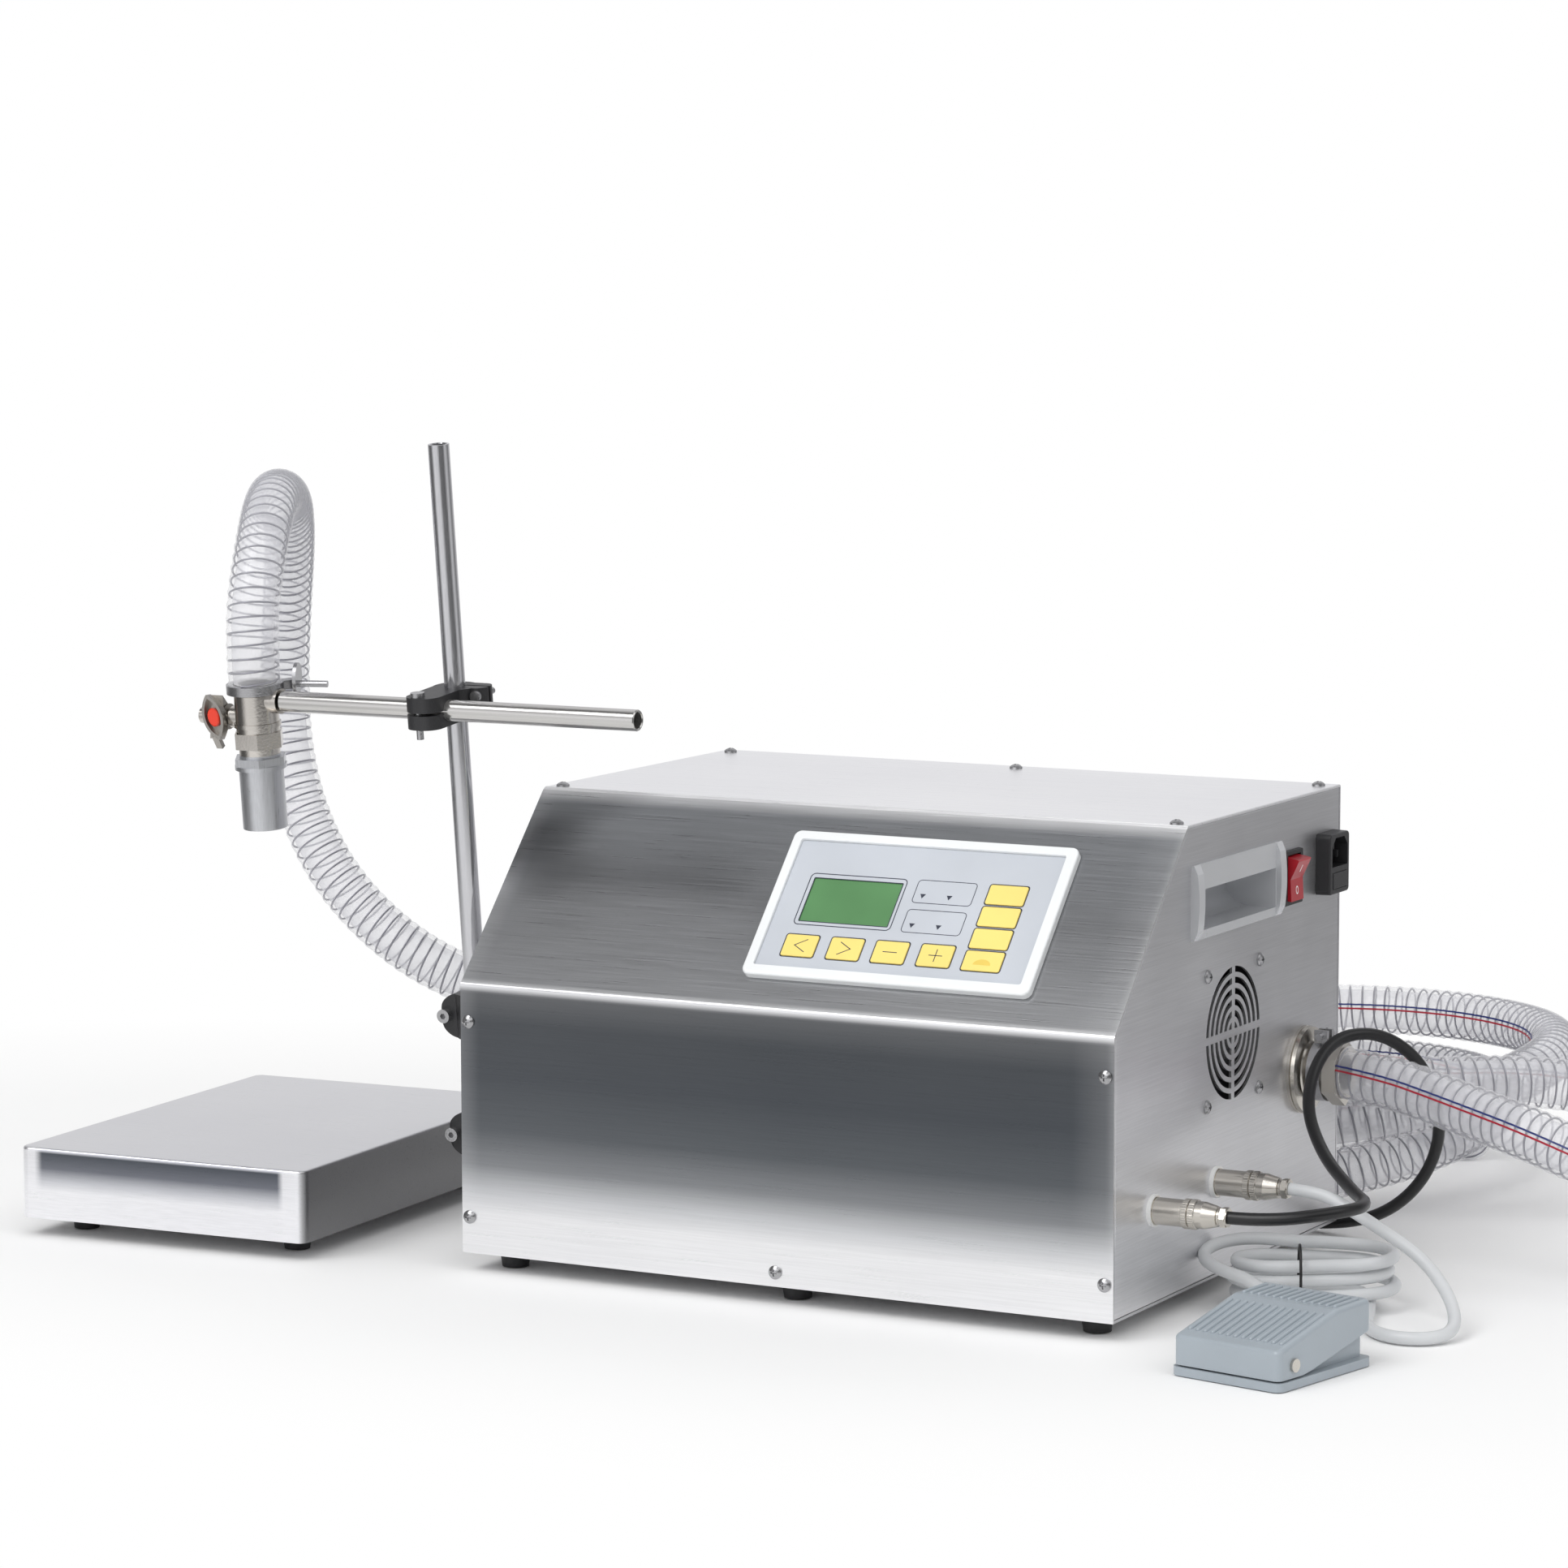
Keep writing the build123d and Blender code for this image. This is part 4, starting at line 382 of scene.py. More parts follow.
red_stripe = moulded("red_stripe", (0.40, 0.02, 0.04), 0.3, 900, 0.05)
blue_stripe = moulded("blue_stripe", (0.02, 0.03, 0.16), 0.3, 900, 0.05)
black_rubber = moulded("black_rubber", (0.018, 0.018, 0.02), 0.5, 700, 0.2, 0.2)
black_jacket = moulded("black_jacket", (0.008, 0.008, 0.009), 0.34, 800, 0.12, 0.2)
grey_jacket = moulded("grey_jacket", (0.66, 0.675, 0.69), 0.36, 700, 0.12, 0.05)
black_plastic = moulded("black_plastic", (0.02, 0.02, 0.022), 0.42, 1100, 0.3, 0.2)
white_gloss = moulded("white_gloss", (0.88, 0.90, 0.91), 0.18, 300, 0.05, 0.02, coat=0.5)
white_plastic = moulded("white_plastic", (0.86, 0.86, 0.85), 0.4, 700, 0.1, 0.02)
membrane = moulded("membrane", (0.54, 0.57, 0.62), 0.42, 1500, 0.12, 0.04)
yellow = moulded("key_yellow", (0.92, 0.73, 0.20), 0.4, 1200, 0.12, 0.04)
dark_print = moulded("dark_print", (0.03, 0.035, 0.06), 0.4, 1200, 0.1, 0.1)
red_plastic = moulded("red_plastic", (0.80, 0.04, 0.012), 0.24, 400, 0.05, 0.06, coat=0.3)
switch_red = moulded("switch_red", (0.40, 0.010, 0.020), 0.3, 400, 0.05, 0.1, coat=0.15)
window = moulded("window", (0.10, 0.27, 0.10), 0.3, 400, 0.02, 0.12, coat=0.15)
pedal_grey = moulded("pedal_grey", (0.355, 0.40, 0.44), 0.3, 700, 0.16, 0.05, coat=0.15)
board_green = moulded("board_green", (0.02, 0.18, 0.07), 0.4, 500, 0.2, 0.2)
motor_paint = moulded("motor_paint", (0.12, 0.13, 0.15), 0.4, 500, 0.3, 0.1)
start_yellow = moulded("start_yellow", (0.80, 0.58, 0.10), 0.4, 1200, 0.12, 0.04)

node_materials = {
    steel_front: ["front_panel"],
    steel_side_painted_shade: ["left_side_panel", "right_side_panel", "back_panel"],
    steel_top: ["top_cover"],
    steel_plain: ["base_tray", "pump_bracket", "power_supply", "platform_base"],
    steel_pan: ["weighing_pan"],
    polished: ["arm_rod", "motor_shaft"],
    rod_steel: ["upright_rod"],
    nozzle_steel: ["filling_nozzle"],
    valve_metal: ["valve_body", "valve_spindle"],
    nickel: ["hose_fittings", "cable_connectors", "pedal_hinge_pin"],
    aluminium: ["recessed_handle", "load_cell", "pan_spider"],
    zinc: ["screws", "cross_clamp_screws", "hose_clamps", "nozzle_hose_clamp"],
    cast_metal: ["valve_handle"],
    black_plastic: ["wall_clamps", "cross_clamp", "rocker_bezel", "power_inlet", "fuse_drawer", "fan_frame",
                    "fan_rotor", "pedal_switch", "pump_head"],
    black_rubber: ["rubber_feet"],
    white_gloss: ["keypad_frame"],
    membrane: ["keypad_membrane"],
    window: ["display_window"],
    yellow: ["key_left", "key_right", "key_minus", "key_plus",
             "key_mode", "key_set", "key_count", "key_start"],
    red_plastic: ["handle_cap"],
    switch_red: ["rocker_paddle"],
    board_green: ["control_board"],
    motor_paint: ["pump_motor"],
    pedal_grey: ["pedal_treadle", "pedal_base"],
    black_jacket: ["black_cable"],
    grey_jacket: ["grey_cable", "grey_cable_hank"],
    clear: ["discharge_hose", "suction_hose", "suction_hose_coil"],
}
for material, names in node_materials.items():
    for name in names:
        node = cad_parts[name]
        node.data.materials.clear()
        node.data.materials.append(material)

# Camera, at the photograph's place, turned to the left, tipped down and rolled by these angles
CAMERA_PLACE, CAMERA_LENS = (1513.06, -2435.94, 598.21), 119.3
CAMERA_TURN, CAMERA_DIP, CAMERA_ROLL = 0.4928, 0.1164, -0.0023


def place_camera():
    turn, dip, roll = CAMERA_TURN, CAMERA_DIP, CAMERA_ROLL
    forward = Vector((-sin(turn) * cos(dip), cos(turn) * cos(dip), -sin(dip)))
    right = Vector((cos(turn), sin(turn), 0))
    up = right.cross(forward)
    rolled_right = right * cos(roll) + up * sin(roll)
    rolled_up = up * cos(roll) - right * sin(roll)
    data = bpy.data.cameras.new("camera")
    data.sensor_width = 36
    data.lens = CAMERA_LENS
    data.clip_end = 20
    camera = bpy.data.objects.new("camera", data)
    bpy.context.collection.objects.link(camera)
    rows = Matrix((rolled_right, rolled_up, -forward)).transposed()
    camera.matrix_world = Matrix.Translation(spot(*CAMERA_PLACE)) @ rows.to_4x4()
    bpy.context.scene.camera = camera


def area_light(name, place, aim, size, power, colour=(1, 1, 1)):
    data = bpy.data.lights.new(name, "AREA")
    data.shape = "RECTANGLE"
    data.size, data.size_y = size
    data.energy = power
    data.color = colour
    light = bpy.data.objects.new(name, data)
    light.location = place
    light.rotation_euler = (Vector(aim) - Vector(place)).to_track_quat("-Z", "Y").to_euler()
    bpy.context.collection.objects.link(light)


def add_node(nodes, kind, **values):
    """A shader node with its named inputs set."""
    made = nodes.new(kind)
    for key, value in values.items():
        made.inputs[key.replace("_", " ")].default_value = value
    return made


# What polished metal sees of the studio: panels and dark gaps, by compass direction and by height
AROUND = [
    (0.0, 0.95),
    (0.10, 0.70),
    (0.19, 0.10),
    (0.27, 0.14),
    (0.33, 1.15),
    (0.44, 1.0),
    (0.50, 0.16),
    (0.62, 0.10),
    (0.70, 0.85),
    (0.80, 0.22),
    (0.90, 0.80),
    (1.0, 0.95),
]
UPWARD = [(0.0, 1.0), (0.50, 1.0), (0.62, 0.92), (0.72, 0.55), (0.80, 1.05), (0.92, 0.95), (1.0, 0.55)]
CAMERA_COMPASS = -0.1709
FLOOR_REACH, FLOOR_Z = 30, -0.0006
PLAIN_FROM, PLAIN_TO = 0.5, 0.78
PANELS_FROM, PANELS_TO = 0.6, 1.2


def grey_ramp(nodes, links, source, stops):
    return ramp(nodes, links, source, [(place, (tone, tone, tone * 1.01)) for place, tone in stops])


def compass_tone(nodes, links, vector):
    """The tone that metal sees in a direction, by compass alone."""
    split = nodes.new("ShaderNodeSeparateXYZ")
    compass = nodes.new("ShaderNodeMath")
    compass.operation = "ARCTAN2"
    turn = nodes.new("ShaderNodeMath")
    turn.operation = "MULTIPLY_ADD"
    turn.inputs[1].default_value = 1 / (2 * pi)
    turn.inputs[2].default_value = 0.5 - CAMERA_COMPASS
    wrapped = nodes.new("ShaderNodeMath")
    wrapped.operation = "FRACT"
    links.new(vector, split.inputs["Vector"])
    links.new(split.outputs["Y"], compass.inputs[0])
    links.new(split.outputs["X"], compass.inputs[1])
    links.new(compass.outputs["Value"], turn.inputs[0])
    links.new(turn.outputs["Value"], wrapped.inputs[0])
    return split, grey_ramp(nodes, links, wrapped.outputs["Value"], AROUND)


def white_floor():
    """Floor that takes the object's shadow near it and is plain white further out."""
    material, nodes, links, shader = new_material("floor")
    noise = stretched_noise(nodes, links, 3, (1, 1, 1), 2)
    whites = [(0.3, (0.955, 0.955, 0.955)), (0.7, (0.965, 0.965, 0.965))]
    tone = ramp(nodes, links, noise.outputs["Fac"], whites)
    links.new(tone.outputs["Color"], shader.inputs["Base Color"])
    shader.inputs["Roughness"].default_value = 0.9
    shader.inputs["Specular IOR Level"].default_value = 0.1
    place = nodes.new("ShaderNodeTexCoord")
    away = nodes.new("ShaderNodeVectorMath")
    away.operation = "LENGTH"
    oval = add_node(nodes, "ShaderNodeMapping", Location=(0, -0.156, 0), Scale=(0.75, 1.3, 1))
    reach = nodes.new("ShaderNodeVectorMath")
    reach.operation = "LENGTH"
    far = add_node(nodes, "ShaderNodeMapRange", From_Min=PLAIN_FROM, From_Max=PLAIN_TO)
    path = nodes.new("ShaderNodeLightPath")
    seen = nodes.new("ShaderNodeMath")
    seen.operation = "MULTIPLY"
    plain = add_node(nodes, "ShaderNodeEmission", Strength=1.0)
    mixed = nodes.new("ShaderNodeMixShader")
    links.new(place.outputs["Object"], away.inputs[0])
    links.new(place.outputs["Object"], oval.inputs["Vector"])
    links.new(oval.outputs["Vector"], reach.inputs[0])
    links.new(reach.outputs["Value"], far.inputs["Value"])
    links.new(far.outputs["Result"], seen.inputs[0])
    links.new(path.outputs["Is Camera Ray"], seen.inputs[1])
    links.new(seen.outputs["Value"], mixed.inputs["Fac"])
    links.new(shader.outputs["BSDF"], mixed.inputs[1])
    links.new(plain.outputs["Emission"], mixed.inputs[2])
    # Metal sees the same panels and gaps on the far floor as it sees above it
    beyond = add_node(nodes, "ShaderNodeMapRange", From_Min=PANELS_FROM, From_Max=PANELS_TO)
    on_metal = nodes.new("ShaderNodeMath")
    on_metal.operation = "MULTIPLY"
    panels = add_node(nodes, "ShaderNodeEmission", Strength=0.85)
    around = compass_tone(nodes, links, place.outputs["Object"])[1]
    links.new(around.outputs["Color"], panels.inputs["Color"])
    reflected = nodes.new("ShaderNodeMixShader")
    links.new(away.outputs["Value"], beyond.inputs["Value"])
    links.new(beyond.outputs["Result"], on_metal.inputs[0])
    links.new(path.outputs["Is Glossy Ray"], on_metal.inputs[1])
    links.new(on_metal.outputs["Value"], reflected.inputs["Fac"])
    links.new(mixed.outputs["Shader"], reflected.inputs[1])
    links.new(panels.outputs["Emission"], reflected.inputs[2])
    links.new(reflected.outputs["Shader"], nodes["Material Output"].inputs["Surface"])
    return material


def build_world():
    """White behind everything; softer on matt faces, and panels with gaps between them on metal."""
    world = bpy.data.worlds.new("world")
    bpy.context.scene.world = world
    world.use_nodes = True
    nodes, links = world.node_tree.nodes, world.node_tree.links
    matt = nodes["Background"]
    matt.inputs["Color"].default_value = (1, 1, 1, 1)
    matt.inputs["Strength"].default_value = 0.62
    white = add_node(nodes, "ShaderNodeBackground", Color=(1, 1, 1, 1), Strength=1.0)
    panels = add_node(nodes, "ShaderNodeBackground", Strength=1.0)
    place = nodes.new("ShaderNodeTexCoord")
    height = add_node(nodes, "ShaderNodeMapRange", From_Min=-1.0, From_Max=1.0)
    split, around = compass_tone(nodes, links, place.outputs["Generated"])
    links.new(split.outputs["Z"], height.inputs["Value"])
    upward = grey_ramp(nodes, links, height.outputs["Result"], UPWARD)
    both = nodes.new("ShaderNodeMixRGB")
    both.blend_type = "MULTIPLY"
    both.inputs["Fac"].default_value = 1.0
    links.new(around.outputs["Color"], both.inputs["Color1"])
    links.new(upward.outputs["Color"], both.inputs["Color2"])
    links.new(both.outputs["Color"], panels.inputs["Color"])
    path = nodes.new("ShaderNodeLightPath")
    seen = nodes.new("ShaderNodeMath")
    seen.operation = "MAXIMUM"
    on_metal, behind = nodes.new("ShaderNodeMixShader"), nodes.new("ShaderNodeMixShader")
    links.new(path.outputs["Is Camera Ray"], seen.inputs[0])
    links.new(path.outputs["Is Transmission Ray"], seen.inputs[1])
    links.new(path.outputs["Is Glossy Ray"], on_metal.inputs["Fac"])
    links.new(matt.outputs["Background"], on_metal.inputs[1])
    links.new(panels.outputs["Background"], on_metal.inputs[2])
    links.new(seen.outputs["Value"], behind.inputs["Fac"])
    links.new(on_metal.outputs["Shader"], behind.inputs[1])
    links.new(white.outputs["Background"], behind.inputs[2])
    links.new(behind.outputs["Shader"], nodes["World Output"].inputs["Surface"])


def sun(name, direction, strength, spread):
    data = bpy.data.lights.new(name, "SUN")
    data.energy = strength
    data.angle = radians(spread)
    light = bpy.data.objects.new(name, data)
    light.rotation_euler = Vector(direction).to_track_quat("-Z", "Y").to_euler()
    bpy.context.collection.objects.link(light)


def build_studio():
    far, low = FLOOR_REACH, FLOOR_Z
    corners = [(-far, -far, low), (far, -far, low), (far, far, low), (-far, far, low)]
    mesh_object("floor", corners, [(0, 1, 2, 3)], [white_floor()])
    build_world()
    sun("key", (0.35, 0.75, -1.0), 0.95, 35)
    sun("fill", (-0.8, 0.3, -0.9), 0.45, 50)
    area_light("soft_front", (0.5, -2.2, 1.4), (0, 0, 0.1), (2.2, 1.0), 9)
    view = bpy.context.scene.view_settings
    view.view_transform = "Standard"
    view.look = "None"


place_camera()
build_studio()

# Cords. The points are the routes of the CAD tubes
DISCHARGE = [
    (-142.4, 11.52, 313.25),
    (-142.4, 7.74, 348.04),
    (-147, 26, 388),
    (-166, 66, 416),
    (-193, 122, 413),
    (-221, 168, 385),
    (-243, 196, 340),
    (-253, 207, 290),
    (-250, 206, 248),
    (-233, 199, 207),
    (-205, 196, 168),
    (-165, 203, 133),
    (-124, 220, 111),
    (-90, 238, 101.5),
    (-58, 251, 97.6),
    (-26, 256, 96.5),
]
SUCTION = [
    (426, 256, 96.5),
    (456, 252.5, 93.5),
    (486, 246, 87.5),
    (516, 236.5, 82),
    (546, 225, 77),
    (577, 214.5, 70),
    (612, 211, 59),
    (650, 222, 44),
    (680, 248, 28),
    (697, 284, 15.5),
    (700, 324, 8),
    (688, 364, 8.5),
    (662, 398, 17),
    (626, 422, 31),
    (586, 434, 46),
    (546, 433, 60),
    (508, 418, 70),
    (476, 395, 74.5),
    (450, 372, 75),
]
GREY_LEAD = [
    (444, 133, 53),
    (462, 133.1, 52.7),
    (480, 132, 45),
    (500, 131, 35),
    (521, 127.5, 25),
    (540, 116, 12),
    (553, 100, 0),
    (556, 84, -5.5),
    (548, 70.5, -6.5),
    (532.5, 66, -6.5),
    (518, 73, -6.5),
    (508, 86, -6.5),
    (502, 101, -6.5),
    (497, 116.5, -6.5),
]
GREY_TAIL = [
    (450, 93, 3),
    (464, 86, -2),
    (481, 80, -6),
    (496, 71.5, -6.5),
    (506.5, 58, -5),
    (509.9, 42.6, -1.1),
    (506.3, 26.2, -1),
]
BLACK = [
    (444, 50, 52),
    (466, 50.1, 52.1),
    (497, 66, 56.3),
    (506, 94, 56.5),
    (482, 130, 55),
    (450, 162, 68),
    (428, 190, 92),
    (428, 222, 120),
    (448, 246, 124),
    (466, 272, 104),
    (470, 292, 68),
    (464, 296, 42),
    (448, 300, 20),
    (424, 308, 4),
    (392, 320, -5),
    (350, 323, -6.5),
    (298, 319, -6.5),
    (246, 322, -6.5),
    (192, 319, -6.5),
    (138, 321.5, -6.5),
    (84, 319, -6.5),
    (30, 322, -6.5),
    (-24, 319, -6.5),
    (-76, 325, -6.5),
    (-124, 322, -6.5),
    (-164, 308, -6.5),
    (-192, 284, -5.5),
    (-200.14, 258, -4),
    (-198.6, 228.6, -4),
]


def eased(value, first, last):
    """Rises from 0 to 1 between two values, level at both ends."""
    share = min(1.0, max(0.0, (value - first) / (last - first)))
    return share * share * (3 - 2 * share)


# Three rings of the coil, each its middle and its half widths, from the top one down
RINGS = [(335, 468, 135, 135), (306, 482, 122, 140), (290, 490, 112, 140)]
RING_Z = (75.0, 38.0, 5.5)
COIL_START, COIL_TURNS, COIL_STEPS = radians(-39.9), 2.8, 15
FIRST_STEP_DOWN, SECOND_STEP_DOWN = (0.8, 1.15), (1.8, 2.1)


def coil_points():
    points = []
    for step in range(1, int(COIL_TURNS * COIL_STEPS) + 1):
        turns = step / COIL_STEPS
        first, second = eased(turns, *FIRST_STEP_DOWN), eased(turns, *SECOND_STEP_DOWN)
        shape = [a + (b - a) * first + (c - b) * second for a, b, c in zip(*RINGS)]
        z = RING_Z[0] + (RING_Z[1] - RING_Z[0]) * first + (RING_Z[2] - RING_Z[1]) * second
        angle = COIL_START - 2 * pi * turns
        points.append((shape[0] + shape[2] * cos(angle), shape[1] + shape[3] * sin(angle), z))
    return points


# The hank's middle and turn, and the ends of its loops along and across it, each with its radius
HANK_MIDDLE, HANK_TURN = (456, 131), radians(26)
LEFT_ENDS = [((-18, 0), 22), ((-20, -0.5), 22), ((-17, 1), 22.5)]
RIGHT_ENDS = [((25, -0.5), 22.5), ((22, 1), 22), ((24.5, -1), 22)]
HANK_LOW, HANK_RISE = -6.5, 0.037
LAST_STRETCH, LAST_DROP = 8, 17.5
TIE_PLACE, TIE_SIZE, TIE_WIRE = (-6, -21, 9.5), (11, 18.5), 0.0008


def in_hank(along, across, z):
    """A place in the hank, measured along and across it from its middle."""
    x = HANK_MIDDLE[0] + along * cos(HANK_TURN) - across * sin(HANK_TURN)
    y = HANK_MIDDLE[1] + along * sin(HANK_TURN) + across * cos(HANK_TURN)
    return (x, y, z)


def arc(middle, radius, first, last, count):
    """Points on an arc between two angles in degrees."""
    turns = [radians(first + (last - first) * k / count) for k in range(count + 1)]
    return [(middle[0] + radius * cos(a), middle[1] + radius * sin(a)) for a in turns]


def hank_points():
    """Long loops laid on each other; the last one comes down outside the others to the pedal's tail."""
    flat = [(31.6, -20), (32.5, -9)] + arc((11.8, 2), 21, 0, 90, 3) + [(-4, 23)]
    for (left, left_bend), (right, right_bend) in zip(LEFT_ENDS, RIGHT_ENDS):
        flat += arc(left, left_bend, 90, 270, 6) + [(-4, -22), (10, -22)]
        flat += arc(right, right_bend, -90, 90, 6) + [(10, 22.5), (-4, 22.5)]
    flat += [(-15, 24.2), (-25, 26.2)] + arc((-32, 2), 25, 100, 235, 5) + [(-35, -25.5)]
    points, height, before = [], HANK_LOW, (31, -31)
    for k, (along, across) in enumerate(flat):
        height += HANK_RISE * sqrt((along - before[0]) ** 2 + (across - before[1]) ** 2)
        share = max(0.0, (k - len(flat) + LAST_STRETCH) / LAST_STRETCH)
        points.append(in_hank(along, across, height - LAST_DROP * share ** 1.4))
        before = (along, across)
    return points


def build_cable_tie():
    """The black wire tie round the strands at the hank's front."""
    along, across, z = TIE_PLACE
    turns = [2 * pi * k / 28 for k in range(29)]
    loop = [spot(*in_hank(along, across + TIE_SIZE[0] * cos(a), z + TIE_SIZE[1] * sin(a))) for a in turns]
    vertices, faces, indices = [], [], []
    add_rings(vertices, faces, indices, tube_rings(loop, frames_along(loop), TIE_WIRE, 8), 0)
    tie = mesh_object("cable_tie", vertices, faces, [black_jacket])
    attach(tie, "housing")


# The clear hoses, in metres: wall, ripple of the skin, the wire in it and the two printed stripes
HOSE_STEP, HOSE_SINK, HOSE_WALL, HOSE_RIPPLE = 0.0024, 0.0006, 0.0028, 0.00045
WIRE_RADIUS, WIRE_DEPTH, WIRE_STEPS = 0.00062, 0.0008, 26
DISCHARGE_PITCH, SUCTION_PITCH = 0.0072, 0.0078
STRIPE_AT, STRIPE_GAP, STRIPE_HALF, STRIPE_PROUD = radians(66), 0.17, 0.036, 0.00012


def hose_mesh(name, line, frames, first, last, whole, pitch, stripes=False):
    """A stretch of spiral hose: outer and inner skin, wire helix between them, thin stripes."""
    vertices, faces, indices = [], [], []
    radius = HOSE / 2000 - HOSE_SINK
    part, sides = line[first:last + 1], frames[first:last + 1]
    step = whole / (len(line) - 1)
    radii = []
    for i in range(first, last + 1):
        radii.append(radius + HOSE_RIPPLE * cos(2 * pi * i * step / pitch))
    add_rings(vertices, faces, indices, tube_rings(part, sides, radius, 28, radii), 0)
    add_rings(vertices, faces, indices, tube_rings(part, sides, radius - HOSE_WALL, 20), 1, flip=True)
    wire_line = []
    turn_step = pitch / WIRE_STEPS
    count = int((last - first) * step / turn_step)
    for k in range(count + 1):
        along = first + k * turn_step / step
        i = min(int(along), last - 1)
        share = min(1.0, along - i)
        point = line[i].lerp(line[i + 1], share)
        side, other = frames[i][0].lerp(frames[i + 1][0], share), frames[i][1].lerp(frames[i + 1][1], share)
        angle = 2 * pi * along * step / pitch
        wire_line.append(point + (side * cos(angle) + other * sin(angle)) * (radius - WIRE_DEPTH))
    add_rings(vertices, faces, indices, tube_rings(wire_line, frames_along(wire_line), WIRE_RADIUS, 5), 2)
    if stripes:
        for offset, index in ((0.0, 4), (STRIPE_GAP, 3)):
            ribbon = []
            for i, (point, (side, other)) in enumerate(zip(part, sides)):
                ring = []
                for edge in (-STRIPE_HALF, 0.0, STRIPE_HALF):
                    angle = STRIPE_AT + offset + edge
                    ring.append(point + (side * cos(angle) + other * sin(angle)) * (radii[i] + STRIPE_PROUD))
                ribbon.append(ring)
            add_rings(vertices, faces, indices, ribbon, index, flip=True, wrap=False)
    return mesh_object(name, vertices, faces, [clear, clear_inner, wire, red_stripe, blue_stripe], indices)


def build_discharge_hose():
    """Three stretches cut from one line without a seam."""
    line, whole = resampled(smooth_path(DISCHARGE), HOSE_STEP)
    frames = frames_along(line)
    last = len(line) - 1
    cuts = [0, round(last * 0.333), round(last * 0.667), last]
    pairs = [("filling_head", "arm"), ("arm", "cross_clamp"), ("cross_clamp", "housing")]
    for number, (body_a, body_b) in enumerate(pairs):
        a, b = cuts[number], cuts[number + 1]
        piece = hose_mesh(f"discharge_hose_{number + 1}", line, frames, a, b, whole, DISCHARGE_PITCH)
        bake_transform(piece)
        if number == 0:
            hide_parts("discharge_hose")


def build_suction_hose():
    """The hose from the right port, with its coil behind the machine, as one open tube."""
    line, whole = resampled(smooth_path(SUCTION + coil_points(), 8), HOSE_STEP * 1.1)
    frames = frames_along(line)
    piece = hose_mesh("suction_hose_line", line, frames, 0, len(line) - 1, whole, SUCTION_PITCH, stripes=True)
    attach(piece, "housing")
    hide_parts("suction_hose", "suction_hose_coil")


def build_cable(name, points, material, nodes):
    """A cable as one open curve through its route, in place of its CAD nodes."""
    curve = bpy.data.curves.new(name, "CURVE")
    curve.dimensions = "3D"
    curve.resolution_u = 10
    curve.bevel_depth = CABLE / 2000
    curve.bevel_resolution = 4
    curve.use_fill_caps = True
    spline = curve.splines.new("NURBS")
    spline.points.add(len(points) - 1)
    for place, point in zip(points, spline.points):
        point.co = (*spot(*place), 1)
    spline.order_u = 3
    spline.use_endpoint_u = True
    curve.materials.append(material)
    made = bpy.data.objects.new(name, curve)
    bpy.context.collection.objects.link(made)
    line = smooth_path(points)
    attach(made, "housing")
    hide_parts(*nodes)


# Keypad print, in millimetres along the slope, up it and out of it
PAD_SURFACE, KEY_SURFACE = 3.0, 3.5
KEY_ROW, KEY_ROW_UP = [201.1, 228.7, 255.9, 283.3], 40.4
KEY_COLUMN, KEY_COLUMN_X = [82.4, 68.0, 53.6, 39.2], 311.8
BOX_X, BOXES_UP, BOX_SIZE, MARKS_X = 274.9, (81.3, 61.8), (35.8, 15.4), (262.5, 278.5)
FRONT_KEY, SIDE_KEY = (19.5, 14.0), (22.5, 12.6)


def on_slope(x, up, proud):
    """A place on the sloped face: along it, up it and out of it, in millimetres."""
    y = up * cos(SLOPE) - proud * sin(SLOPE)
    return spot(x, y, FRONT_HEIGHT + up * sin(SLOPE) + proud * cos(SLOPE))


def rounded_outline(middle, size, radius, steps=5):
    points = []
    corners = [(1, 1, 0), (-1, 1, 90), (-1, -1, 180), (1, -1, 270)]
    for side_x, side_y, first in corners:
        x = middle[0] + side_x * (size[0] / 2 - radius)
        y = middle[1] + side_y * (size[1] / 2 - radius)
        for k in range(steps + 1):
            angle = radians(first + 90 * k / steps)
            points.append((x + radius * cos(angle), y + radius * sin(angle)))
    return points


def add_slab(vertices, faces, outer, low, high, inner=None):
    """A flat raised shape on the slope, or a frame where an inner outline is given."""
    base, count = len(vertices), len(outer)
    if inner is None:
        for proud in (low, high):
            vertices.extend(on_slope(x, up, proud) for x, up in outer)
        faces.append(tuple(range(base + count, base + 2 * count)))
        for k in range(count):
            n = (k + 1) % count
            faces.append((base + k, base + n, base + count + n, base + count + k))
        return
    for outline, proud in ((outer, low), (outer, high), (inner, high), (inner, low)):
        vertices.extend(on_slope(x, up, proud) for x, up in outline)
    for layer in range(3):
        for k in range(count):
            n = (k + 1) % count
            a = base + layer * count
            faces.append((a + k, a + n, a + count + n, a + count + k))


def line_frame(vertices, faces, middle, size, radius, line, low, high):
    """A printed line round a rounded rectangle."""
    outer = rounded_outline(middle, size, radius)
    inner = rounded_outline(middle, (size[0] - 2 * line, size[1] - 2 * line), max(0.2, radius - line))
    add_slab(vertices, faces, outer, low, high, inner)


def bar(vertices, faces, start, end, width, low, high):
    """A printed stroke between two places on the slope."""
    along = Vector((end[0] - start[0], end[1] - start[1])).normalized() * width / 2
    across = Vector((-along.y, along.x))
    a, b = Vector(start) - along, Vector(end) + along
    outline = [tuple(a - across), tuple(b - across), tuple(b + across), tuple(a + across)]
    add_slab(vertices, faces, outline, low, high)


def slope_piece(name, vertices, faces, material, body):
    made = mesh_object(name, vertices, faces, [material], smooth=False)
    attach(made, body)


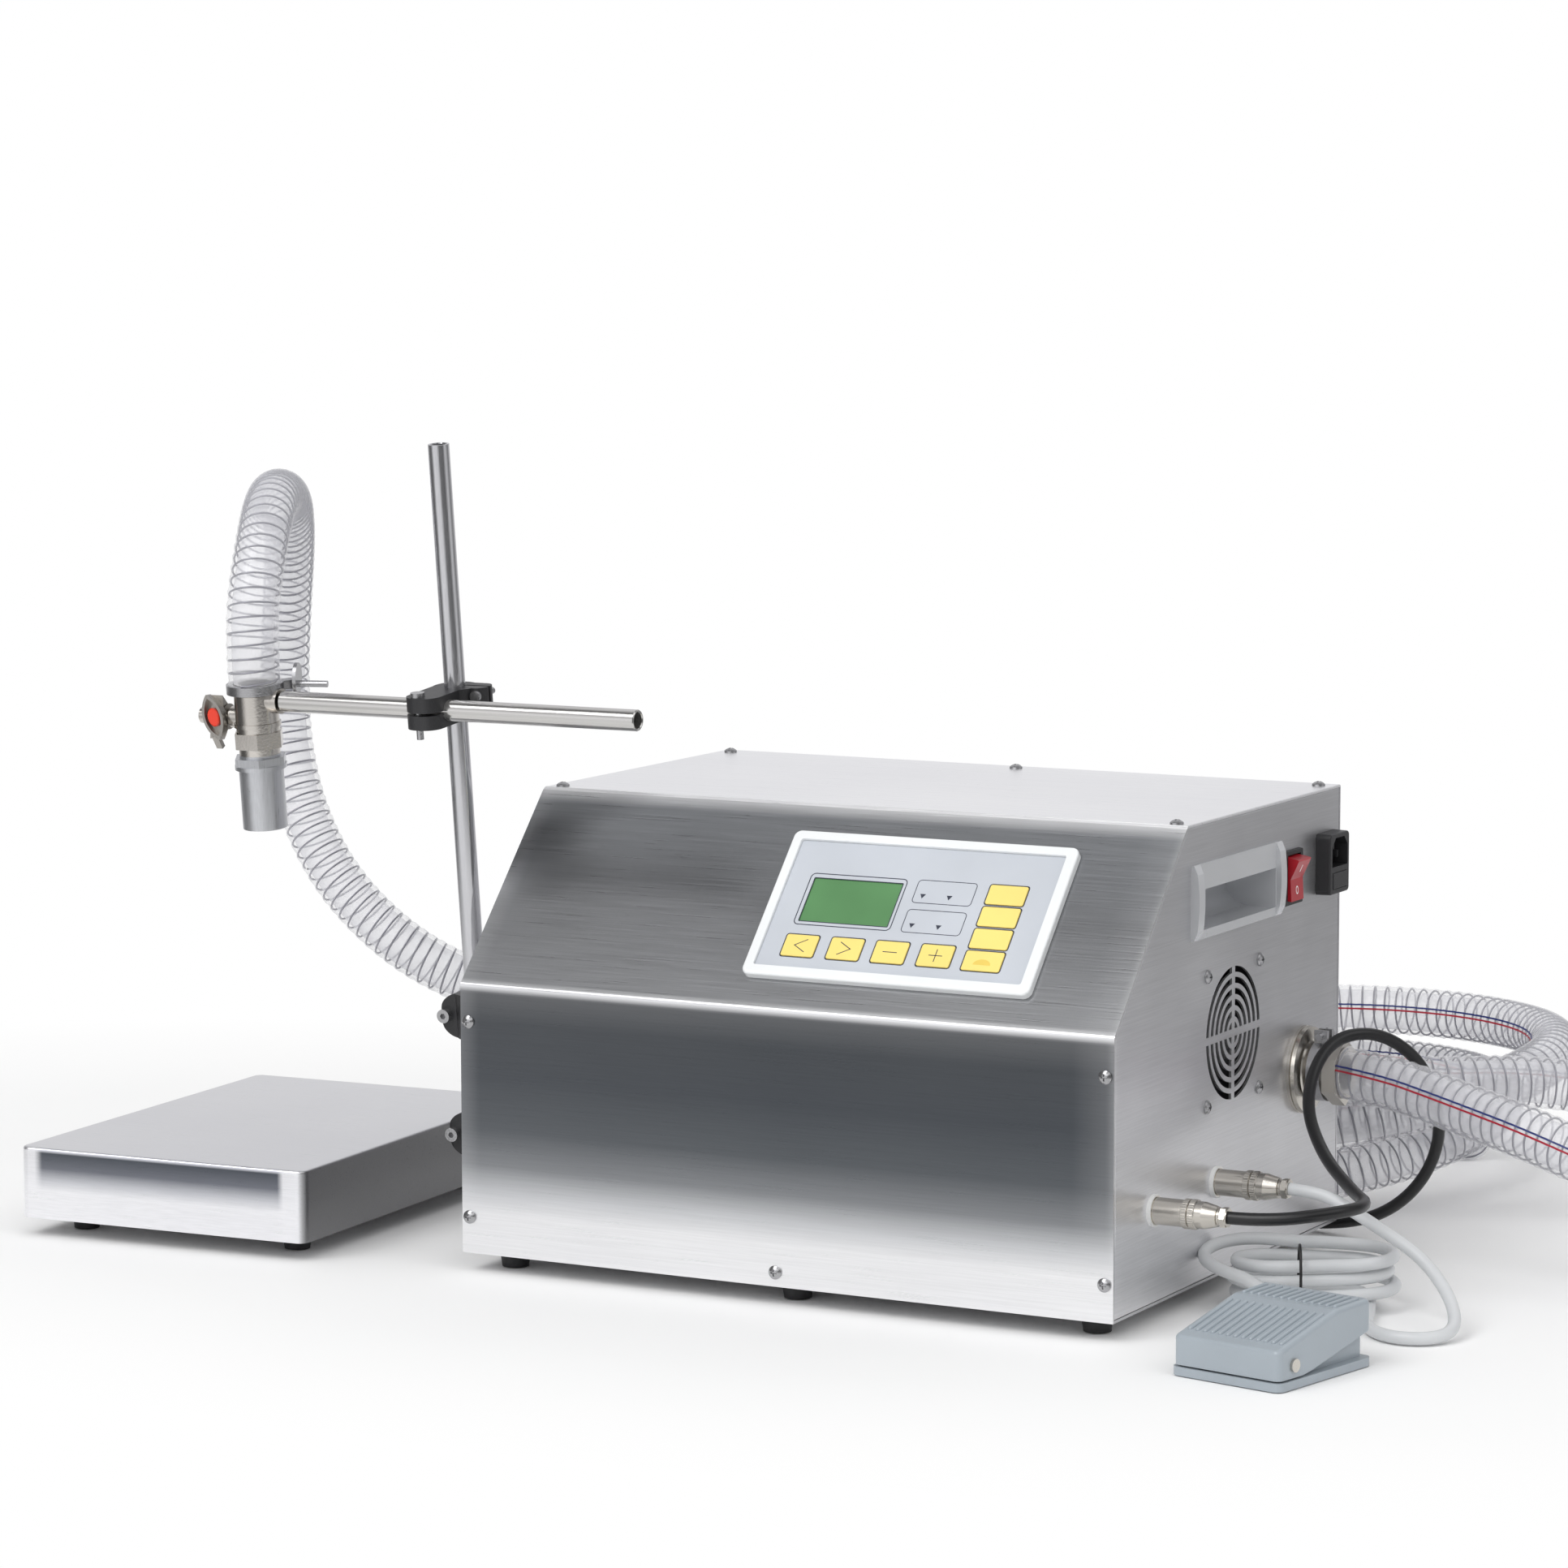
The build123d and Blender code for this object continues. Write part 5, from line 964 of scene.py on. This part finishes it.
def build_keypad_print():
    """Lines round the display, the indicator boxes and the keys, and the marks of five keys."""
    vertices, faces = [], []
    low, high = PAD_SURFACE - 0.05, PAD_SURFACE + 0.07
    line_frame(vertices, faces, (221.15, 71.4), (59.4, 34.6), 3.0, 0.55, low, high)
    line_frame(vertices, faces, (221.4, 71.1), (54.8, 29.5), 0.8, 0.5, low, high)
    for up in BOXES_UP:
        line_frame(vertices, faces, (BOX_X, up), BOX_SIZE, 2.4, 0.4, low, high)
        for x in MARKS_X:
            foot = up - 4.6
            mark = [(x, foot), (x + 1.7, foot + 3.0), (x - 1.7, foot + 3.0)]
            add_slab(vertices, faces, mark, low, high)
    for x in KEY_ROW:
        size = (FRONT_KEY[0] + 1.6, FRONT_KEY[1] + 1.6)
        line_frame(vertices, faces, (x, KEY_ROW_UP), size, 1.9, 0.42, low, high)
    for up in KEY_COLUMN:
        size = (SIDE_KEY[0] + 1.6, SIDE_KEY[1] + 1.5)
        line_frame(vertices, faces, (KEY_COLUMN_X, up), size, 1.9, 0.42, low, high)
    slope_piece("keypad_lines", vertices, faces, dark_print, "housing")
    strokes = {
        "key_left": [((3.6, 4.0), (-3.2, 0)), ((-3.2, 0), (3.6, -4.0))],
        "key_right": [((-3.6, 4.0), (3.2, 0)), ((3.2, 0), (-3.6, -4.0))],
        "key_minus": [((-4.0, 0), (4.0, 0))],
        "key_plus": [((-3.8, 0), (3.8, 0)), ((0, -3.8), (0, 3.8))],
    }
    for (name, lines), x in zip(strokes.items(), KEY_ROW):
        vertices, faces = [], []
        for start, end in lines:
            a, b = (x + start[0], KEY_ROW_UP + start[1]), (x + end[0], KEY_ROW_UP + end[1])
            bar(vertices, faces, a, b, 0.5, KEY_SURFACE - 0.05, KEY_SURFACE + 0.05)
        slope_piece(name + "_mark", vertices, faces, dark_print, name)
    vertices, faces = [], []
    x, up = KEY_COLUMN_X, KEY_COLUMN[3]
    dome = [(x + 5.2 * cos(radians(a)), up - 2.6 + 3.6 * sin(radians(a))) for a in range(0, 181, 15)]
    add_slab(vertices, faces, dome, KEY_SURFACE - 0.05, KEY_SURFACE + 0.04)
    slope_piece("key_start_mark", vertices, faces, start_yellow, "key_start")


CONNECTORS = ((50.0, 52.0), (133.0, 53.0))


def ring_along_x(vertices, faces, x0, x1, inner, outer, y, z, sides=40, ripple=0.0):
    """A ring round an axis along X, with a rippled outside where asked."""
    base = len(vertices)
    for x, r in ((x0, inner), (x0, outer), (x1, outer), (x1, inner)):
        for k in range(sides):
            angle = 2 * pi * k / sides
            radius = r + (ripple if (k % 2 and r == outer) else 0.0)
            vertices.append(spot(x, y + radius * cos(angle), z + radius * sin(angle)))
    for layer in range(4):
        for k in range(sides):
            n = (k + 1) % sides
            a, b = base + layer * sides, base + (layer + 1) % 4 * sides
            faces.append((a + k, b + k, b + n, a + n))


def build_connector_details():
    """White washers at the wall, and the milled rings and nut grooves of the two connectors."""
    vertices, faces = [], []
    for y, z in CONNECTORS:
        ring_along_x(vertices, faces, 399.9, 402.3, 7.4, 8.7, y, z)
    washers = mesh_object("connector_washers", vertices, faces, [white_plastic], smooth=False)
    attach(washers, "housing")
    vertices, faces = [], []
    for y, z in CONNECTORS:
        for start in (419.2, 423.2):
            ring_along_x(vertices, faces, start, start + 2.8, 7.5, 7.8, y, z, 72, 0.3)
        ring_along_x(vertices, faces, 440.2, 443.2, 4.8, 5.8, y, z, 6)
    rings = mesh_object("connector_rings", vertices, faces, [nickel], smooth=False)
    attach(rings, "housing")


# The rocker: its pivot, half length, tilt at rest, the depth of its middle and the rise of its ends
PADDLE_PIVOT, PADDLE_HALF, PADDLE_TILT = (400.5, 235.5, 208.5), 12.0, radians(11)
PADDLE_MIDDLE, PADDLE_RISE = 3.2, 3.0
MARK_SINK, MARK_PROUD = -0.1, 0.06


def on_paddle(rise, side, proud):
    """A place on the rocker's outer face: up its two slanted halves, across it and out of it."""
    along, toward = rise / PADDLE_HALF, 1 if rise > 0 else -1
    u = PADDLE_MIDDLE + PADDLE_RISE * abs(along) + proud * 0.97
    v = PADDLE_HALF * along - proud * 0.2425 * toward
    tilt = PADDLE_TILT
    u, v = u * cos(tilt) + v * sin(tilt), -u * sin(tilt) + v * cos(tilt)
    return spot(PADDLE_PIVOT[0] + u, PADDLE_PIVOT[1] + side, PADDLE_PIVOT[2] + v)


def build_switch_marks():
    """The line and the ring of the power switch."""
    vertices, faces = [], []
    outline = [(4.2, -0.45), (8.4, -0.45), (8.4, 0.45), (4.2, 0.45)]
    for proud in (MARK_SINK, MARK_PROUD):
        vertices.extend(on_paddle(rise, side, proud) for rise, side in outline)
    faces.extend([(4, 5, 6, 7), (0, 1, 5, 4), (1, 2, 6, 5), (2, 3, 7, 6), (3, 0, 4, 7)])
    base, count = len(vertices), 20
    for radius, proud in ((1.0, MARK_SINK), (1.0, MARK_PROUD), (0.72, MARK_PROUD), (0.72, MARK_SINK)):
        for k in range(count):
            angle = 2 * pi * k / count
            vertices.append(on_paddle(-6.3 + 2.3 * radius * sin(angle), 1.7 * radius * cos(angle), proud))
    for layer in range(3):
        for k in range(count):
            a, n = base + layer * count, (k + 1) % count
            faces.append((a + k, a + n, a + count + n, a + count + k))
    marks = mesh_object("switch_marks", vertices, faces, [white_plastic], smooth=False)
    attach(marks, "rocker")


build_keypad_print()
build_connector_details()
build_switch_marks()
build_cable_tie()
build_discharge_hose()
build_suction_hose()
build_cable("black_cable_line", BLACK, black_jacket, ["black_cable"])
build_cable("grey_cable_line", GREY_LEAD + hank_points() + GREY_TAIL, grey_jacket,
            ["grey_cable", "grey_cable_hank"])
